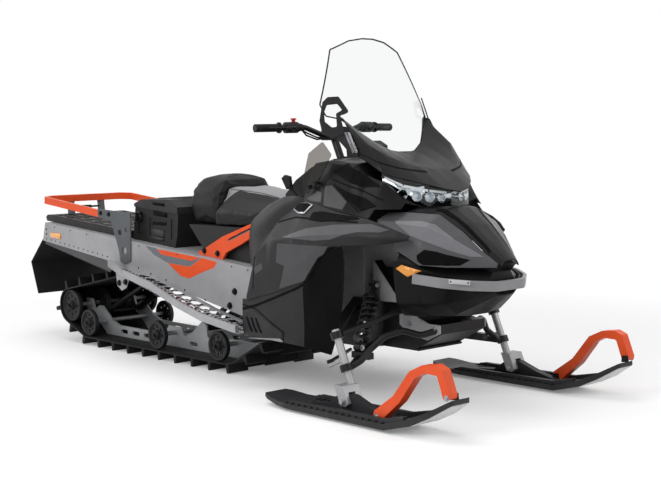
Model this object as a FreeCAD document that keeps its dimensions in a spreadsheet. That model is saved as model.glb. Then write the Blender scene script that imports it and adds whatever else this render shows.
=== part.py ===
"""Utility snowmobile: wide track, two steered skis, tall screen, storage box and rear cargo loop.

Frame: +X forward, +Y to the rider's left, +Z up, in millimetres.
Pieces are drawn from the steering post's foot; datum_shift then moves every one of them
so that the origin lies on the ground below the middle of the overall box.
"""
import FreeCAD
import Part
import Sketcher
import math
import os

from FreeCAD import Placement, Rotation, Vector

DRIVING_SIZES = {
    "datum_shift": 60.0,
    # tunnel and track
    "tunnel_half_width": 270.0,
    "sheet_wall": 3.0,
    "tunnel_rear": -1489.0,
    "tunnel_front": 193.0,
    "tunnel_datum_height": 495.0,
    "tunnel_drop_per_length": 0.073,
    "track_half_width": 250.0,
    "belt_thickness": 7.0,
    "lug_height": 38.0,
    "lug_pitch": 63.5,
    "lug_base": 22.0,
    "lug_tip": 12.0,
    "rail_wheel_radius": 68.0,
    "idler_radius": 82.0,
    "sprocket_radius": 92.5,
    "wheel_width": 24.0,
    "rear_idler_place": -1313.0,
    "rear_idler_height": 187.0,
    "drive_axle_place": 290.0,
    "drive_axle_height": 320.0,
    "carrier_place": -550.0,
    "carrier_height": 360.0,
    "wheel_track_half": 228.0,
    "rail_half_gap": 120.0,
    "rail_thickness": 10.0,
    "axle_radius": 10.0,
    # running boards and rear load area
    "board_half_width": 420.0,
    "board_tube_height": 32.0,
    "board_tube_width": 18.0,
    "deck_height": 36.0,
    "deck_half_width": 225.0,
    "seat_gap": 0.3,
    "loop_bar_height": 35.0,
    "loop_bar_width": 14.0,
    "loop_half_width": 270.0,
    "loop_rear_place": -1530.0,
    "loop_rear_height": 722.0,
    "bracket_thickness": 5.0,
    "box_half_width": 215.0,
    "box_wall": 7.0,
    # rider's place
    "seat_base_half_width": 205.0,
    "strut_inner_half_width": 226.0,
    "strut_thickness": 12.0,
    "console_half_width": 150.0,
    # front end
    "block_half_width": 125.0,
    "engine_length": 270.0,
    "engine_width": 380.0,
    "engine_height": 400.0,
    "ski_stance_half": 480.0,
    "ski_half_width": 90.0,
    "ski_front_reach": 545.0,
    "ski_rear_reach": 420.0,
    "ski_fork_gap": 34.0,
    "ski_fork_width": 72.0,
    "ski_bolt_radius": 8.0,
    "ski_pivot_place": 985.0,
    "ski_pivot_height": 66.0,
    "spindle_lean": 23.0,
    "spindle_offset": 450.0,
    "column_radius": 15.0,
    "arm_tube_radius": 12.5,
    "bar_tube_radius": 11.0,
    "grip_radius": 16.5,
    "grip_length": 115.0,
    "post_radius": 16.0,
    "post_lean": 25.0,
    "panel_wall": 5.0,
    "screen_wall": 4.0,
    "bumper_thickness": 13.0,
    "bumper_height": 36.0,
}

DOCUMENT = FreeCAD.newDocument("snowmobile")
SHEET = DOCUMENT.addObject("Spreadsheet::Sheet", "sizes")
NODES = []


def fill_sheet():
    """Write each driving size in a cell of its own, with its name as the alias."""
    for row, (name, value) in enumerate(DRIVING_SIZES.items(), start=1):
        SHEET.set(f"A{row}", name)
        SHEET.set(f"B{row}", str(value))
        SHEET.setAlias(f"B{row}", name)
    DOCUMENT.recompute()


fill_sheet()


# Values and the sheet

def size(name):
    """The value of a driving size, read from the sheet."""
    return float(SHEET.get(name))


def number(entry):
    """The value of a plain number or of an expression of driving sizes."""
    if isinstance(entry, str):
        return float(SHEET.evalExpression(entry))
    return float(entry)


def bind(item, path, entry):
    """Tie one property to a number or to an expression of driving sizes."""
    item.setExpression(path, str(entry))


def top_line(x, rise=0.0):
    """Expression for the tunnel's upper face at a place along the vehicle, and a rise above it."""
    return f"sizes.tunnel_datum_height - sizes.tunnel_drop_per_length * ({x}) + ({rise})"


HALF_TUNNEL = "sizes.tunnel_half_width"
INSIDE_TUNNEL = "sizes.tunnel_half_width - sizes.sheet_wall - sizes.seat_gap"
OUTSIDE_TUNNEL = "sizes.tunnel_half_width + sizes.seat_gap"
RAIL_AXLE_HEIGHT = "sizes.lug_height + sizes.belt_thickness + sizes.rail_wheel_radius"


# Outlines and curves

def rounded_curves(points, radius, closed=True):
    """Straight runs whose corners are tangent arcs of one radius, as curves in order."""
    count = len(points)
    corners = range(count) if closed else range(1, count - 1)
    entry = {}
    leave = {}
    middle = {}
    for i in corners:
        here = points[i]
        back = points[i - 1] - here
        ahead = points[(i + 1) % count] - here
        turn = back.getAngle(ahead)
        if math.pi - turn < 0.02 or radius <= 0:
            continue
        reach = min(radius / math.tan(turn / 2), 0.45 * back.Length, 0.45 * ahead.Length)
        back.normalize()
        ahead.normalize()
        entry[i] = here + back * reach
        leave[i] = here + ahead * reach
        bisector = back + ahead
        bisector.normalize()
        arc_radius = reach * math.tan(turn / 2)
        middle[i] = here + bisector * (arc_radius / math.sin(turn / 2) - arc_radius)
    curves = []
    steps = range(count) if closed else range(count - 1)
    for i in steps:
        if i in entry and (closed or i > 0):
            curves.append(Part.Arc(entry[i], middle[i], leave[i]))
        start = leave.get(i, points[i])
        follow = (i + 1) % count
        stop = entry.get(follow, points[follow])
        if (stop - start).Length > 0.01:
            curves.append(Part.LineSegment(start, stop))
    return curves


def rounded_wire(points, radius, closed=True):
    """The same chain as a wire."""
    return Part.Wire([curve.toShape() for curve in rounded_curves(points, radius, closed)])


def offset_chain(chain, distance):
    """A chain of (across, up) points moved sideways by one distance, with mitred corners."""
    normals = []
    for (y0, z0), (y1, z1) in zip(chain, chain[1:]):
        length = math.hypot(y1 - y0, z1 - z0)
        normals.append(((z1 - z0) / length, -(y1 - y0) / length))
    moved = []
    for i, (y, z) in enumerate(chain):
        first = normals[max(i - 1, 0)]
        second = normals[min(i, len(normals) - 1)]
        ny = first[0] + second[0]
        nz = first[1] + second[1]
        scale = 2 * distance / (ny * ny + nz * nz)
        moved.append((y + ny * scale, z + nz * scale))
    return moved


def chain_at(stations, x):
    """The cross section of a skin at any place along it, between its stations."""
    for (x0, chain0), (x1, chain1) in zip(stations, stations[1:]):
        if x <= x1:
            break
    share = (x - x0) / (x1 - x0)
    return [(y0 + (y1 - y0) * share, z0 + (z1 - z0) * share) for (y0, z0), (y1, z1) in zip(chain0, chain1)]


def full_width(half_chain):
    """A chain of (y, z) points of the right half, continued over the middle to the left."""
    return half_chain + [(-y, z) for y, z in half_chain[::-1]]


# Bodies with sketches

def new_body(name):
    """An empty body with its own label."""
    body = DOCUMENT.addObject("PartDesign::Body", name)
    body.Label = name
    return body


def sketch_on(body, role, lift, origin=None, tilt=0.0):
    """A sketch on one of the body's own planes, lifted along the plane's normal."""
    sketch = body.newObject("Sketcher::SketchObject", f"{body.Name}_sketch")
    plane = next(item for item in body.Origin.OriginFeatures if item.Role == role)
    sketch.AttachmentSupport = [(plane, "")]
    sketch.MapMode = "FlatFace"
    if origin is None:
        bind(sketch, "AttachmentOffset.Base.z", lift)
    else:
        sketch.AttachmentOffset = Placement(origin, Rotation(Vector(0, 1, 0), tilt))
    return sketch


def pin_corner(sketch, index, pair):
    """Fix the start of one line by its distances from the sketch's axes."""
    for kind, axis, entry in (("DistanceX", -2, pair[0]), ("DistanceY", -1, pair[1])):
        distance = number(entry)
        if abs(distance) < 1e-6:
            sketch.addConstraint(Sketcher.Constraint("PointOnObject", index, 1, axis))
            continue
        place = sketch.addConstraint(Sketcher.Constraint(kind, -1, 1, index, 1, distance))
        if isinstance(entry, str):
            sketch.setExpression(f"Constraints[{place}]", entry)


def join_curves(sketch, first, count):
    """Close a ring of curves by making their neighbouring ends coincide."""
    for i in range(count):
        here = first + i
        follow = first + (i + 1) % count
        for end, start in ((2, 1), (2, 2), (1, 1), (1, 2)):
            if (sketch.getPoint(here, end) - sketch.getPoint(follow, start)).Length < 1e-5:
                sketch.addConstraint(Sketcher.Constraint("Coincident", here, end, follow, start))
                break


def draw_outline(sketch, pairs, radius=0.0):
    """A closed outline; sharp corners are dimensioned, round ones are drawn as tangent arcs."""
    points = [Vector(number(u), number(v), 0) for u, v in pairs]
    first = sketch.GeometryCount
    curves = rounded_curves(points, radius)
    sketch.addGeometry(curves, False)
    join_curves(sketch, first, len(curves))
    if radius == 0.0:
        for i, pair in enumerate(pairs):
            pin_corner(sketch, first + i, pair)


def draw_circle(sketch, u, v, radius):
    """A round hole with its radius as a dimension."""
    index = sketch.addGeometry(Part.Circle(Vector(number(u), number(v), 0), Vector(0, 0, 1), number(radius)), False)
    place = sketch.addConstraint(Sketcher.Constraint("Radius", index, number(radius)))
    if isinstance(radius, str):
        sketch.setExpression(f"Constraints[{place}]", radius)


def extrusion(body, kind, role, pairs, low, high, radius=0.0, circles=(), origin=None, tilt=0.0):
    """Pad or pocket of an outline between two distances from one of the body's planes."""
    sketch = sketch_on(body, role, low, origin, tilt)
    if pairs:
        draw_outline(sketch, pairs, radius)
    for u, v, hole_radius in circles:
        draw_circle(sketch, u, v, hole_radius)
    feature = body.newObject(kind, f"{body.Name}_{kind.split('::')[1].lower()}")
    feature.Profile = sketch
    bind(feature, "Length", f"({high}) - ({low})")
    if kind == "PartDesign::Pocket":
        feature.Reversed = True
    return feature


def side_pad(body, pairs, inner, outer, radius=0.0, circles=()):
    """Side-view outline of (x, z) pairs, solid between two distances to the right of the middle."""
    return extrusion(body, "PartDesign::Pad", "XZ_Plane", pairs, inner, outer, radius, circles)


def side_cut(body, pairs, inner, outer, radius=0.0, circles=()):
    """The same outline taken away."""
    return extrusion(body, "PartDesign::Pocket", "XZ_Plane", pairs, inner, outer, radius, circles)


def plan_pad(body, pairs, low, high, radius=0.0, circles=()):
    """Plan-view outline of (x, y) pairs, solid between two heights."""
    return extrusion(body, "PartDesign::Pad", "XY_Plane", pairs, low, high, radius, circles)


def plan_cut(body, pairs, low, high, radius=0.0, circles=()):
    """The same outline taken away."""
    return extrusion(body, "PartDesign::Pocket", "XY_Plane", pairs, low, high, radius, circles)


def front_pad(body, pairs, rear, front, radius=0.0):
    """Front-view outline of (y, z) pairs, solid between two places along the vehicle."""
    return extrusion(body, "PartDesign::Pad", "YZ_Plane", pairs, rear, front, radius)


def tilted_pad(body, pairs, origin, tilt, height, radius):
    """Plan-view outline on a plane that leans about the cross axis, solid upwards from it."""
    return extrusion(body, "PartDesign::Pad", "XY_Plane", pairs, 0.0, height, radius, (), origin, tilt)


def row_of(body, feature, length, count):
    """Repeat the body's last feature forwards along the vehicle."""
    pattern = body.newObject("PartDesign::LinearPattern", f"{body.Name}_row")
    pattern.Originals = [feature]
    pattern.Direction = (feature.Profile[0], ["H_Axis"])
    pattern.Length = length
    pattern.Occurrences = count
    body.Tip = pattern
    return pattern


def loft_body(name, role, loops, ruled=True):
    """Loft through closed loops, each given as (lift, [(u, v), ...]) on one of the body's planes."""
    body = new_body(name)
    sketches = []
    for lift, loop in loops:
        sketch = sketch_on(body, role, lift)
        draw_outline(sketch, loop)
        sketches.append(sketch)
    loft = body.newObject("PartDesign::AdditiveLoft", f"{name}_loft")
    loft.Profile = sketches[0]
    loft.Sections = sketches[1:]
    loft.Ruled = ruled
    return body


def skin_body(name, stations, wall):
    """Moulded sheet through cross sections (x, [(y, z), ...]), each from the lower right edge upwards."""
    loops = [(x, chain + offset_chain(chain, wall)[::-1]) for x, chain in stations]
    return loft_body(name, "YZ_Plane", loops)


# Assemblies of bodies and primitives

def plain_object(kind, name):
    """A document object of one kind with its own label."""
    item = DOCUMENT.addObject(kind, name)
    item.Label = name
    return item


def rod(name, start, stop, radius):
    """Round bar from one point to another."""
    bar = plain_object("Part::Cylinder", name)
    bind(bar, "Radius", radius)
    bar.Height = (stop - start).Length
    bar.Placement = Placement(start, Rotation(Vector(0, 0, 1), stop - start))
    return bar


def block(name, corner, spans, place=None):
    """Box from its low corner, with three spans that may be expressions."""
    box = plain_object("Part::Box", name)
    for path, span in zip(("Length", "Width", "Height"), spans):
        bind(box, path, span)
    box.Placement = (place or Placement()).multiply(Placement(corner, Rotation()))
    return box


def shaped(name, shape):
    """A swept or repeated form made by shape functions, kept as an object."""
    item = plain_object("Part::Feature", name)
    item.Shape = shape
    return item


def fused(name, *items):
    """Union of several objects."""
    result = plain_object("Part::MultiFuse", name)
    result.Shapes = list(items)
    return result


def less(name, base, tool):
    """One object with another taken away."""
    result = plain_object("Part::Cut", name)
    result.Base = base
    result.Tool = tool
    return result


def shared(name, first, second):
    """What two objects have in common."""
    result = plain_object("Part::Common", name)
    result.Base = first
    result.Tool = second
    return result


def together(name, *items):
    """Like pieces that share a node, as solids beside each other."""
    result = plain_object("Part::Compound", name)
    result.Links = list(items)
    return result


def copy_at(name, source, x, y, z):
    """A linked copy of an object at another place."""
    link = plain_object("App::Link", name)
    link.LinkedObject = source
    link.Placement = Placement(Vector(x, y, z), Rotation())
    return link


def twin(name, source):
    """The mirror image on the left side of the vehicle."""
    result = plain_object("Part::Mirroring", name)
    result.Source = source
    result.Base = Vector(0, 0, 0)
    result.Normal = Vector(0, 1, 0)
    return result


def pair(name, *items):
    """Right pieces and their mirror images in one node."""
    right = items[0] if len(items) == 1 else together(f"{name}_right_side", *items)
    return together(name, right, twin(f"{name}_left_side", right))


def keep(item):
    """Count an object as a finished sub-part and move it by the datum shift."""
    bind(item, "Placement.Base.x", f"sizes.datum_shift + {item.Placement.Base.x}")
    NODES.append(item)
    return item


def keep_twin(name, source):
    """Count the mirror image of a finished right piece as a sub-part."""
    item = twin(name, source)
    NODES.append(item)
    return item


# Tunnel and running boards

SKIRT_LINE = [(-1517.0, 510.0), (-895.0, 442.0), (-856.0, 432.0)]
HANGER_LINE = [(-840.0, 328.0), (-803.0, 306.0), (-764.0, 322.0), (-744.0, 357.0), (-735.0, 414.0)]
FRONT_SKIRT_LINE = [(136.0, 267.0), (142.0, 300.0), (142.0, 350.0), (180.0, 385.0)]


def make_tunnel():
    """Folded sheet channel with the rail hangers on its sides, open below and at both ends."""
    body = new_body("tunnel")
    rear = "sizes.tunnel_rear"
    front = "sizes.tunnel_front"
    outline = [(rear, top_line(rear)), (front, top_line(front))]
    outline += FRONT_SKIRT_LINE[::-1] + HANGER_LINE[::-1] + SKIRT_LINE[::-1]
    side_pad(body, outline, f"-{HALF_TUNNEL}", HALF_TUNNEL)
    past = 100.0
    inside = [
        (f"{rear} - {past}", top_line(f"{rear} - {past}", "-sizes.sheet_wall")),
        (f"{front} + {past}", top_line(f"{front} + {past}", "-sizes.sheet_wall")),
        (f"{front} + {past}", 0.0),
        (f"{rear} - {past}", 0.0),
    ]
    wall_face = "sizes.tunnel_half_width - sizes.sheet_wall"
    side_cut(body, inside, f"-({wall_face})", wall_face)
    bolts = [(-822.0, 342.0, 7.0), (-768.0, 350.0, 7.0), (60.0, 372.0, 9.0)]
    side_cut(body, [], f"-{HALF_TUNNEL} - 1", f"{HALF_TUNNEL} + 1", circles=bolts)
    return body


BOARD_LINE = [
    (-862.0, 440.0),
    (-531.0, 398.0),
    (-296.0, 346.0),
    (-74.0, 290.0),
    (138.0, 250.0),
    (268.0, 229.0),
]


def make_board():
    """Right running board: a stepped sheet with two rows of long openings."""
    body = new_body("running_board_right")
    under = [(x, f"{z} - sizes.sheet_wall") for x, z in BOARD_LINE]
    side_pad(body, BOARD_LINE + under[::-1], OUTSIDE_TUNNEL, "sizes.board_half_width")
    corner = [
        (BOARD_LINE[0][0] - 10.0, f"-{HALF_TUNNEL} - 22"),
        (-532.0, "-sizes.board_half_width"),
        (-532.0, "-sizes.board_half_width - 20"),
        (BOARD_LINE[0][0] - 10.0, "-sizes.board_half_width - 20"),
    ]
    plan_cut(body, corner, 200.0, 500.0)
    opening_rows = ((-520.0, 106.0, 27.0, 22.0), (-552.0, 48.0, 27.0, 22.0))
    pitch = 66.0
    count = 12
    for start, across, half_long, half_wide in opening_rows:
        middle = f"-{HALF_TUNNEL} - {across}"
        opening = [
            (start - half_long, middle),
            (start - half_long / 2, f"{middle} - {half_wide}"),
            (start + half_long / 2, f"{middle} - {half_wide}"),
            (start + half_long, middle),
            (start + half_long / 2, f"{middle} + {half_wide}"),
            (start - half_long / 2, f"{middle} + {half_wide}"),
        ]
        row_of(body, plan_cut(body, opening, 200.0, 500.0), pitch * (count - 1), count)
    return body


RAIL_TOP_LINE = [
    (-851.0, 454.0),
    (-536.0, 436.0),
    (-327.0, 397.0),
    (-143.0, 336.0),
    (33.0, 293.0),
    (268.0, 262.0),
]


def make_board_rail():
    """Right board's outer tube, from the tunnel's side to the foot of the side panel."""
    body = new_body("board_rail_right")
    rear = RAIL_TOP_LINE[0][0]
    front = RAIL_TOP_LINE[-1][0]
    inner = "-sizes.board_half_width - sizes.seat_gap"
    outer = f"{inner} - sizes.board_tube_width"
    plan = [
        (rear, f"-{HALF_TUNNEL} - 26"),
        (-532.0, inner),
        (front, inner),
        (front, outer),
        (-540.0, outer),
        (rear, f"-{HALF_TUNNEL} - 26 - sizes.board_tube_width"),
    ]
    plan_pad(body, plan, 180.0, 480.0)
    past = 20.0
    above = [(rear - past, 520.0), (rear - past, RAIL_TOP_LINE[0][1])] + RAIL_TOP_LINE[1:-1]
    above += [(front + past, RAIL_TOP_LINE[-1][1]), (front + past, 520.0)]
    below = [(x, f"{z} - sizes.board_tube_height") for x, z in above[1:-1]]
    below = [(rear - past, 150.0)] + below + [(front + past, 150.0)]
    side_cut(body, above, 200.0, 500.0)
    side_cut(body, below, 200.0, 500.0)
    return body


# Track with its lugs, and what runs inside it

RAIL_WHEEL_PLACES = [-1156.0, -573.0, -110.0]
SLIDE_END = -60.0
SLIDE_RADIUS = 180.0


def belt_circles():
    """The round guides that the belt lies on, in order along the ground and back over the top."""
    wheel_radius = size("rail_wheel_radius")
    ground = size("lug_height") + size("belt_thickness")
    return [
        (RAIL_WHEEL_PLACES[0], ground + wheel_radius, wheel_radius),
        (SLIDE_END, ground + SLIDE_RADIUS, SLIDE_RADIUS),
        (size("drive_axle_place"), size("drive_axle_height"), size("sprocket_radius")),
        (size("carrier_place"), size("carrier_height"), wheel_radius),
        (size("rear_idler_place"), size("rear_idler_height"), size("idler_radius")),
    ]


def belt_course():
    """Straight and round stretches of the belt's inner face, as (kind, data, length)."""
    circles = belt_circles()
    normals = []
    for (x0, z0, r0), (x1, z1, r1) in zip(circles, circles[1:] + circles[:1]):
        length = math.hypot(x1 - x0, z1 - z0)
        heading = math.atan2(z1 - z0, x1 - x0)
        lean = math.asin((r0 - r1) / length)
        normals.append(heading - math.pi / 2 + lean)
    course = []
    for i, (x, z, r) in enumerate(circles):
        arrive = normals[i - 1]
        leave = normals[i]
        sweep = (leave - arrive) % (2 * math.pi)
        course.append(("round", (x, z, r, arrive), sweep * r))
        follow = circles[(i + 1) % len(circles)]
        start = (x + r * math.cos(leave), z + r * math.sin(leave))
        stop = (follow[0] + follow[2] * math.cos(leave), follow[1] + follow[2] * math.sin(leave))
        run = math.hypot(stop[0] - start[0], stop[1] - start[1])
        course.append(("straight", (start, stop, leave), run))
    return course


def belt_point(course, travel, lift):
    """A point of the loop at a distance along it, lifted outwards from the inner face."""
    travel = travel % sum(piece[2] for piece in course)
    for kind, data, length in course:
        if travel <= length:
            break
        travel -= length
    if kind == "round":
        x, z, r, arrive = data
        angle = arrive + travel / r
        return x + (r + lift) * math.cos(angle), z + (r + lift) * math.sin(angle)
    start, stop, normal = data
    share = travel / length
    x = start[0] + (stop[0] - start[0]) * share + lift * math.cos(normal)
    z = start[1] + (stop[1] - start[1]) * share + lift * math.sin(normal)
    return x, z


def track_strip(course, count, low, high, lug_rows):
    """One lengthwise strip of the track, with lugs on every second row or on none."""
    total = sum(piece[2] for piece in course)
    pitch = total / count
    base = size("lug_base") / 2
    tip = size("lug_tip") / 2
    thick = size("belt_thickness")
    tall = thick + size("lug_height")
    between = [base + (pitch - 2 * base) * share for share in (1 / 3, 2 / 3)]
    outer = []
    inner = []
    for row in range(count):
        middle = row * pitch
        if row % 2 == lug_rows:
            stops = [(-base, thick), (-tip, tall), (tip, tall), (base, thick)]
        else:
            stops = [(-base, thick), (base, thick)]
        stops += [(along, thick) for along in between]
        outer += [belt_point(course, middle + along, lift) for along, lift in stops]
        inner += [belt_point(course, middle + along, 0.0) for along in (-base, base, *between)]
    rings = []
    for line in (outer, inner):
        rings.append(Part.Face(Part.makePolygon([Vector(x, low, z) for x, z in line + line[:1]])))
    return rings[0].cut(rings[1]).extrude(Vector(0, high - low, 0))


def make_track():
    """The endless belt: outer and middle lugs in turn, all of one loop."""
    course = belt_course()
    total = sum(piece[2] for piece in course)
    count = 2 * round(total / size("lug_pitch") / 2)
    half = size("track_half_width")
    outer_lug = 140.0
    middle_lug = 95.0
    no_lugs = 2
    strips = [
        track_strip(course, count, -half, -outer_lug, 0),
        track_strip(course, count, -outer_lug, -middle_lug, no_lugs),
        track_strip(course, count, -middle_lug, middle_lug, 1),
        track_strip(course, count, middle_lug, outer_lug, no_lugs),
        track_strip(course, count, outer_lug, half, 0),
    ]
    return shaped("track", strips[0].fuse(strips[1:]).removeSplitter())


def make_wheel(name, radius):
    """A wheel turned about the cross axis: tyre, dished web with round windows, and hub."""
    body = new_body(name)
    bore = "sizes.axle_radius + sizes.seat_gap"
    half = "sizes.wheel_width / 2"
    tyre = 12.0
    hub = 22.0
    web = 4.0
    right = [
        (bore, f"{half} + 4"),
        (hub, f"{half} + 4"),
        (hub + 3.0, web),
        (f"{radius} - {tyre} - 5", web),
        (f"{radius} - {tyre}", half),
        (f"{radius} - 3", half),
        (radius, f"{half} - 4"),
    ]
    profile = right + [(r, f"-({y})") for r, y in right[::-1]]
    sketch = sketch_on(body, "XY_Plane", 0.0)
    draw_outline(sketch, profile)
    disc = body.newObject("PartDesign::Revolution", f"{name}_disc")
    disc.Profile = sketch
    disc.ReferenceAxis = (sketch, ["V_Axis"])
    disc.Angle = 360.0
    ring = f"({radius} - {tyre} + {hub}) / 2"
    window = side_cut(body, [], -30.0, 30.0, circles=[(ring, 0.0, 6.5)])
    pattern = body.newObject("PartDesign::PolarPattern", f"{name}_windows")
    pattern.Originals = [window]
    pattern.Axis = (window.Profile[0], ["N_Axis"])
    pattern.Angle = 360.0
    pattern.Occurrences = 8
    body.Tip = pattern
    return body


def make_sprocket():
    """Toothed drive wheel on the cross axle, centred on the origin."""
    body = new_body("drive_sprocket")
    teeth = 14
    outer = size("sprocket_radius") - 1.5
    root = outer - 12.0
    outline = []
    for tooth in range(teeth):
        for share, radius in ((0.0, root), (0.2, outer), (0.55, outer), (0.75, root)):
            turn = 2 * math.pi * (tooth + share) / teeth
            outline.append((radius * math.cos(turn), radius * math.sin(turn)))
    side_pad(body, outline, -12.0, 12.0, circles=[(0.0, 0.0, "sizes.axle_radius + sizes.seat_gap")])
    return body


def make_track_wheels():
    """Rail wheels, rear idlers, upper wheels and drive sprockets on their places."""
    clearance = 1.0
    plain = make_wheel("rail_wheel", f"sizes.rail_wheel_radius - {clearance}")
    large = make_wheel("rear_idler", f"sizes.idler_radius - {clearance}")
    sprocket = make_sprocket()
    across = size("wheel_track_half")
    axle = number(RAIL_AXLE_HEIGHT)
    inner_idler = 60.0
    sprocket_half = 80.0
    places = [(plain, x, across, axle) for x in RAIL_WHEEL_PLACES]
    places.append((plain, size("carrier_place"), across, size("carrier_height")))
    for half in (across, inner_idler):
        places.append((large, size("rear_idler_place"), half, size("rear_idler_height")))
    places.append((sprocket, size("drive_axle_place"), sprocket_half, size("drive_axle_height")))
    copies = []
    for index, (source, x, half, z) in enumerate(places):
        for side in (-1, 1):
            copies.append(copy_at(f"wheel_place_{index}_{side + 1}", source, x, side * half, z))
    return together("track_wheels", *copies)


def cross_shaft(name, x, z, half, radius):
    """Round shaft across the vehicle, centred on its middle plane."""
    shaft = plain_object("Part::Cylinder", name)
    bind(shaft, "Radius", radius)
    bind(shaft, "Height", f"2 * ({half})")
    shaft.Placement = Placement(Vector(number(x), -number(half), number(z)), Rotation(Vector(0, 0, 1), Vector(0, 1, 0)))
    return shaft


REAR_EAR = [(-1262.0, 160.0), (-1285.0, 214.0), (-1343.0, 214.0), (-1343.0, 160.0), (-1290.0, 146.0), (-1205.0, 88.0)]


def make_rail():
    """Right slide rail: plate with raised ears, slots and a curved nose along the belt."""
    body = new_body("slide_rail_right")
    floor = number("sizes.lug_height + sizes.belt_thickness + sizes.seat_gap")
    nose = []
    for step in range(5):
        turn = math.radians(10 * step)
        x = SLIDE_END + SLIDE_RADIUS * math.sin(turn)
        nose.append((x, floor + SLIDE_RADIUS * (1 - math.cos(turn))))
    outline = [(RAIL_WHEEL_PLACES[0], floor), *nose, (40.0, 125.0), (-60.0, 130.0), (-200.0, 121.0)]
    outline += [(-322.0, 116.0), (-330.0, 172.0), (-362.0, 186.0), (-452.0, 118.0), (-500.0, 104.0)]
    outline += [(-522.0, 140.0), (-622.0, 140.0), (-662.0, 98.0), (-1040.0, 100.0), (-1105.0, 120.0)]
    outline += [(-1188.0, 184.0), (-1222.0, 184.0)] + REAR_EAR
    inner = "sizes.rail_half_gap"
    outer = "sizes.rail_half_gap + sizes.rail_thickness"
    side_pad(body, outline, inner, outer)
    for x in (-1000.0, -900.0, -800.0, -700.0, -430.0, -260.0):
        slot = [(x - 30.0, 62.0), (x + 30.0, 62.0), (x + 30.0, 82.0), (x - 30.0, 82.0)]
        side_cut(body, slot, f"{inner} - 5", f"{outer} + 5", 8.0)
    bore = "sizes.axle_radius + 0.05"
    holes = [(x, RAIL_AXLE_HEIGHT, bore) for x in RAIL_WHEEL_PLACES]
    holes.append(("sizes.rear_idler_place", "sizes.rear_idler_height", bore))
    side_cut(body, [], f"{inner} - 5", f"{outer} + 5", circles=holes)
    return body


def make_slide_rails():
    """Both rails with the cross axles of the wheels, and the drive axle."""
    right = make_rail()
    radius = "sizes.axle_radius"
    half = "sizes.wheel_track_half + 18"
    shafts = [cross_shaft(f"rail_axle_{i}", x, RAIL_AXLE_HEIGHT, half, radius) for i, x in enumerate(RAIL_WHEEL_PLACES)]
    shafts.append(cross_shaft("rear_axle", "sizes.rear_idler_place", "sizes.rear_idler_height", half, radius))
    shafts.append(cross_shaft("carrier_axle", "sizes.carrier_place", "sizes.carrier_height", INSIDE_TUNNEL, radius))
    drive_half = "263 - sizes.seat_gap"
    shafts.append(cross_shaft("drive_axle", "sizes.drive_axle_place", "sizes.drive_axle_height", drive_half, radius))
    return together("slide_rails", right, twin("slide_rail_left", right), *shafts)


ARM_SHAFTS = [(-110.0, 345.0), (-385.0, 145.0), (-800.0, 345.0), (-1205.0, 150.0)]


def make_suspension_arms():
    """Front and rear swing arms of the rails with their cross shafts."""
    radius = "sizes.axle_radius + 1"
    between = "sizes.rail_half_gap - sizes.seat_gap"
    tube_radius = 14.0
    across = 95.0
    arms = []
    for name, upper, lower in (("front", *ARM_SHAFTS[:2]), ("rear", *ARM_SHAFTS[2:])):
        pieces = [
            cross_shaft(f"{name}_arm_upper_shaft", *upper, INSIDE_TUNNEL, radius),
            cross_shaft(f"{name}_arm_lower_shaft", *lower, between, radius),
        ]
        for side in (-1, 1):
            start = Vector(upper[0], side * across, upper[1])
            stop = Vector(lower[0], side * across, lower[1])
            pieces.append(rod(f"{name}_arm_tube_{side + 1}", start, stop, tube_radius))
        arms.append(fused(f"{name}_swing_arm", *pieces))
    return together("suspension_arms", *arms)


# Rear load area

def resting(pairs):
    """Side-view points whose heights are measured above the tunnel's upper face."""
    return [(x, top_line(x, f"sizes.seat_gap + ({rise})")) for x, rise in pairs]


def make_rear_deck():
    """Moulded load deck with rows of long through openings."""
    body = new_body("rear_deck")
    tall = "sizes.deck_height"
    half = "sizes.deck_half_width"
    rear = -1556.0
    outline = [(-1520.0, 0.0), (-800.0, 0.0), (-800.0, tall), (-1500.0, tall), (-1540.0, f"{tall} - 4")]
    outline += [(rear, f"{tall} - 18"), (rear + 11.0, 0.0)]
    side_pad(body, resting(outline), f"-{half}", half)
    wall = 6.0
    inside = [(-1520.0, -5.0), (-810.0, -5.0), (-810.0, f"{tall} - {wall}"), (-1505.0, f"{tall} - {wall}")]
    side_cut(body, resting(inside), f"-({half} - {wall})", f"{half} - {wall}")
    slot_half_length = 38.0
    slot_half_width = 9.0
    first = -1440.0
    columns = 8
    span = size("deck_half_width") - 40.0
    for column in range(columns):
        y = -span + 2 * span * column / (columns - 1)
        slot = [
            (first - slot_half_length, y - slot_half_width),
            (first + slot_half_length, y - slot_half_width),
            (first + slot_half_length, y + slot_half_width),
            (first - slot_half_length, y + slot_half_width),
        ]
        row_of(body, plan_cut(body, slot, 570.0, 700.0), 540.0, 6)
    return body


def make_rack_loop():
    """Bent flat bar round the rear of the deck, in a plane that rises to the rear."""
    body = new_body("rack_loop")
    front = -860.0
    rear = size("loop_rear_place")
    front_height = 655.0
    fall = math.atan((size("loop_rear_height") - front_height) / (front - rear))
    half = size("loop_half_width")
    wide = size("loop_bar_width")
    corner = 60.0
    outer = [(0.0, -half), (rear - front + corner / 2, -half), (rear - front, -half + corner)]
    inner = [(x + wide * 0.6, y + wide * 1.1) for x, y in outer[1:]]
    inner = [(0.0, -half + wide), (inner[0][0], -half + wide), (rear - front + wide, -half + corner + wide * 0.3)]
    outline = outer + [(x, -y) for x, y in outer[::-1]] + [(x, -y) for x, y in inner] + inner[::-1]
    place = Vector(front, 0.0, front_height - size("loop_bar_height") / 2)
    tilted_pad(body, outline, place, math.degrees(fall), "sizes.loop_bar_height", 16.0)
    return body


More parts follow.
